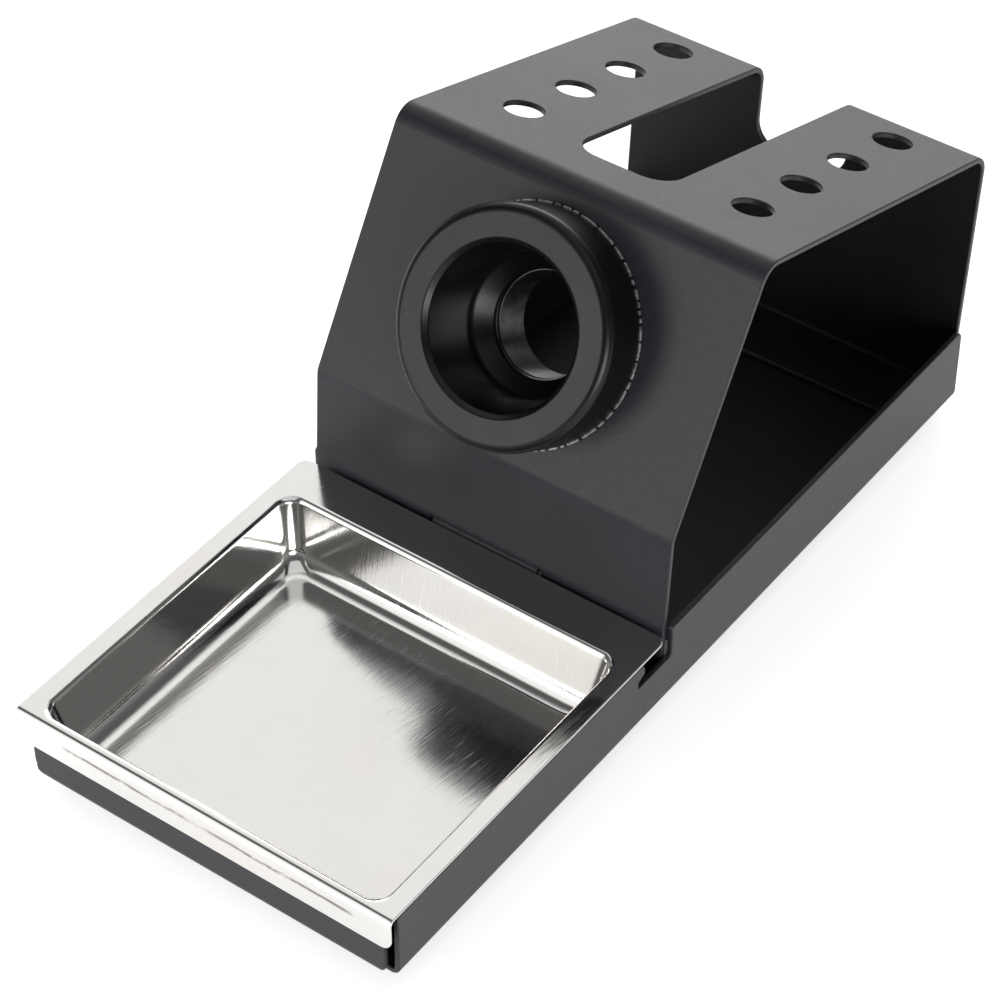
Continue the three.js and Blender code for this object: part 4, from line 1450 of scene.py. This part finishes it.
def build_sky(look):
    """Even soft light from all round, with large soft boxes at the left and the front of the stand."""
    world = bpy.data.worlds.new("soft_sky")
    bpy.context.scene.world = world
    sky = Finish(world)
    direction = sky.node("ShaderNodeTexCoord", {}, {}, "Generated")
    height = sky.node("ShaderNodeSeparateXYZ", {}, {"Vector": direction}, "Z")
    strength = look.sky_low - height.between(0.1, 0.7) * (look.sky_low * 0.6)
    for aim, inner, outer, power in SOFT_BOXES:
        aims = {0: direction, 1: Vector(aim).normalized()}
        nearness = sky.node("ShaderNodeVectorMath", {"operation": "DOT_PRODUCT"}, aims, "Value")
        box = nearness.between(math.cos(math.radians(outer)), math.cos(math.radians(inner)))
        strength = strength + box * power
    values = {"Color": SKY_COLOUR, "Strength": strength * look.sky_strength}
    sky.node("ShaderNodeOutputWorld", {}, {"Surface": sky.node("ShaderNodeBackground", {}, values)})


def build_top_light(look):
    """Large soft light above the stand, looking at its middle."""
    lamp = bpy.data.lights.new("top_light", "AREA")
    lamp.size = TOP_LIGHT_SIZE
    lamp.energy = look.top_power
    light = bpy.data.objects.new("top_light", lamp)
    light.location = TOP_LIGHT_PLACE
    light.rotation_mode = "QUATERNION"
    light.rotation_quaternion = (-TOP_LIGHT_PLACE).to_track_quat("-Z", "Y")
    bpy.context.scene.collection.objects.link(light)


def build_floor(look):
    """Wide pale floor at the level of the stand's feet."""
    mesh = bpy.data.meshes.new("floor")
    square = [(x * FLOOR_REACH, y * FLOOR_REACH, 0) for x, y in ((-1, -1), (1, -1), (1, 1), (-1, 1))]
    mesh.from_pydata(square, [], [[0, 1, 2, 3]])
    mesh.materials.append(pale_floor(look))
    floor = bpy.data.objects.new("floor", mesh)
    bpy.context.scene.collection.objects.link(floor)


def build_camera(look):
    """Camera above the front right of the stand, looking down at it."""
    target = (CAMERA_TARGET + ROW_SHIFT) * MM
    a, e = look.azimuth, look.elevation
    back = Vector((math.sin(a) * math.cos(e), -math.cos(a) * math.cos(e), math.sin(e)))
    data = bpy.data.cameras.new("camera")
    data.sensor_fit = "HORIZONTAL"
    data.sensor_width = SENSOR_WIDTH
    data.lens = look.focal_length
    data.clip_start, data.clip_end = 0.01, 50.0
    camera = bpy.data.objects.new("camera", data)
    right = Vector((0, 0, 1)).cross(back).normalized()
    up = back.cross(right)
    turn = Matrix((right, up, back)).transposed() @ Matrix.Rotation(look.roll, 3, "Z")
    camera.matrix_world = Matrix.Translation(target + back * look.distance) @ turn.to_4x4()
    bpy.context.scene.collection.objects.link(camera)
    bpy.context.scene.camera = camera


def build_stage(look):
    """Floor, lights, sky and camera."""
    bpy.context.scene.view_settings.view_transform = "Standard"
    build_sky(look)
    build_top_light(look)
    build_floor(look)
    build_camera(look)


# ---------------------------------------------------------------- operators and panel


class STAND_OT_pan(bpy.types.Operator):
    """Builds the folded steel pan"""

    bl_idname = "iron_stand.pan"
    bl_label = "Base Pan"

    def execute(self, context):
        build_pan(context.scene.stand_steel)
        return {"FINISHED"}


class STAND_OT_bridge(bpy.types.Operator):
    """Builds the bridge that carries the holder and the tip rack"""

    bl_idname = "iron_stand.bridge"
    bl_label = "Bridge"

    def execute(self, context):
        build_bridge(context.scene.stand_steel)
        return {"FINISHED"}


class STAND_OT_tray(bpy.types.Operator):
    """Builds the loose aluminium tray"""

    bl_idname = "iron_stand.tray"
    bl_label = "Tray"

    def execute(self, context):
        build_tray(context.scene.stand_tray)
        return {"FINISHED"}


class STAND_OT_holder(bpy.types.Operator):
    """Builds the moulded holder, its sleeve and its ring nut"""

    bl_idname = "iron_stand.holder"
    bl_label = "Iron Holder"

    def execute(self, context):
        build_holder(context.scene.stand_holder)
        return {"FINISHED"}


class STAND_OT_rivets(bpy.types.Operator):
    """Builds the four rivets"""

    bl_idname = "iron_stand.rivets"
    bl_label = "Rivets"

    def execute(self, context):
        build_rivets(context.scene.stand_holder)
        return {"FINISHED"}


class STAND_OT_feet(bpy.types.Operator):
    """Builds the four rubber feet"""

    bl_idname = "iron_stand.feet"
    bl_label = "Rubber Feet"

    def execute(self, context):
        build_feet(context.scene.stand_holder)
        return {"FINISHED"}


class STAND_OT_stage(bpy.types.Operator):
    """Sets up the floor, the lights and the camera"""

    bl_idname = "iron_stand.stage"
    bl_label = "Stage"

    def execute(self, context):
        build_stage(context.scene.stand_stage)
        return {"FINISHED"}


class STAND_PT_panel(bpy.types.Panel):
    """Pieces of the stand and their settings"""

    bl_label = "Soldering Iron Stand"
    bl_idname = "STAND_PT_panel"
    bl_space_type = "VIEW_3D"
    bl_region_type = "UI"
    bl_category = "Iron Stand"

    def draw(self, context):
        for operator in OPERATORS:
            self.layout.operator(operator.bl_idname)
        for name in SETTINGS:
            group = getattr(context.scene, name)
            box = self.layout.box()
            for key in group.__annotations__:
                box.prop(group, key)


OPERATORS = (
    STAND_OT_pan,
    STAND_OT_bridge,
    STAND_OT_tray,
    STAND_OT_holder,
    STAND_OT_rivets,
    STAND_OT_feet,
    STAND_OT_stage,
)
SETTINGS = {
    "stand_steel": SteelSettings,
    "stand_tray": TraySettings,
    "stand_holder": HolderSettings,
    "stand_stage": StageSettings,
}


def register():
    """Adds the settings, the operators and the panel."""
    for group in SETTINGS.values():
        bpy.utils.register_class(group)
    for name, group in SETTINGS.items():
        setattr(bpy.types.Scene, name, bpy.props.PointerProperty(type=group))
    for operator in OPERATORS:
        bpy.utils.register_class(operator)
    bpy.utils.register_class(STAND_PT_panel)


def unregister():
    """Takes them away again."""
    bpy.utils.unregister_class(STAND_PT_panel)
    for operator in reversed(OPERATORS):
        bpy.utils.unregister_class(operator)
    for name in SETTINGS:
        delattr(bpy.types.Scene, name)
    for group in SETTINGS.values():
        bpy.utils.unregister_class(group)


def main():
    """Builds every piece and the stage."""
    register()
    bpy.ops.iron_stand.stage()
    bpy.ops.iron_stand.pan()
    bpy.ops.iron_stand.bridge()
    bpy.ops.iron_stand.tray()
    bpy.ops.iron_stand.holder()
    bpy.ops.iron_stand.rivets()
    bpy.ops.iron_stand.feet()
    bpy.context.view_layer.update()


if __name__ == "__main__":
    main()
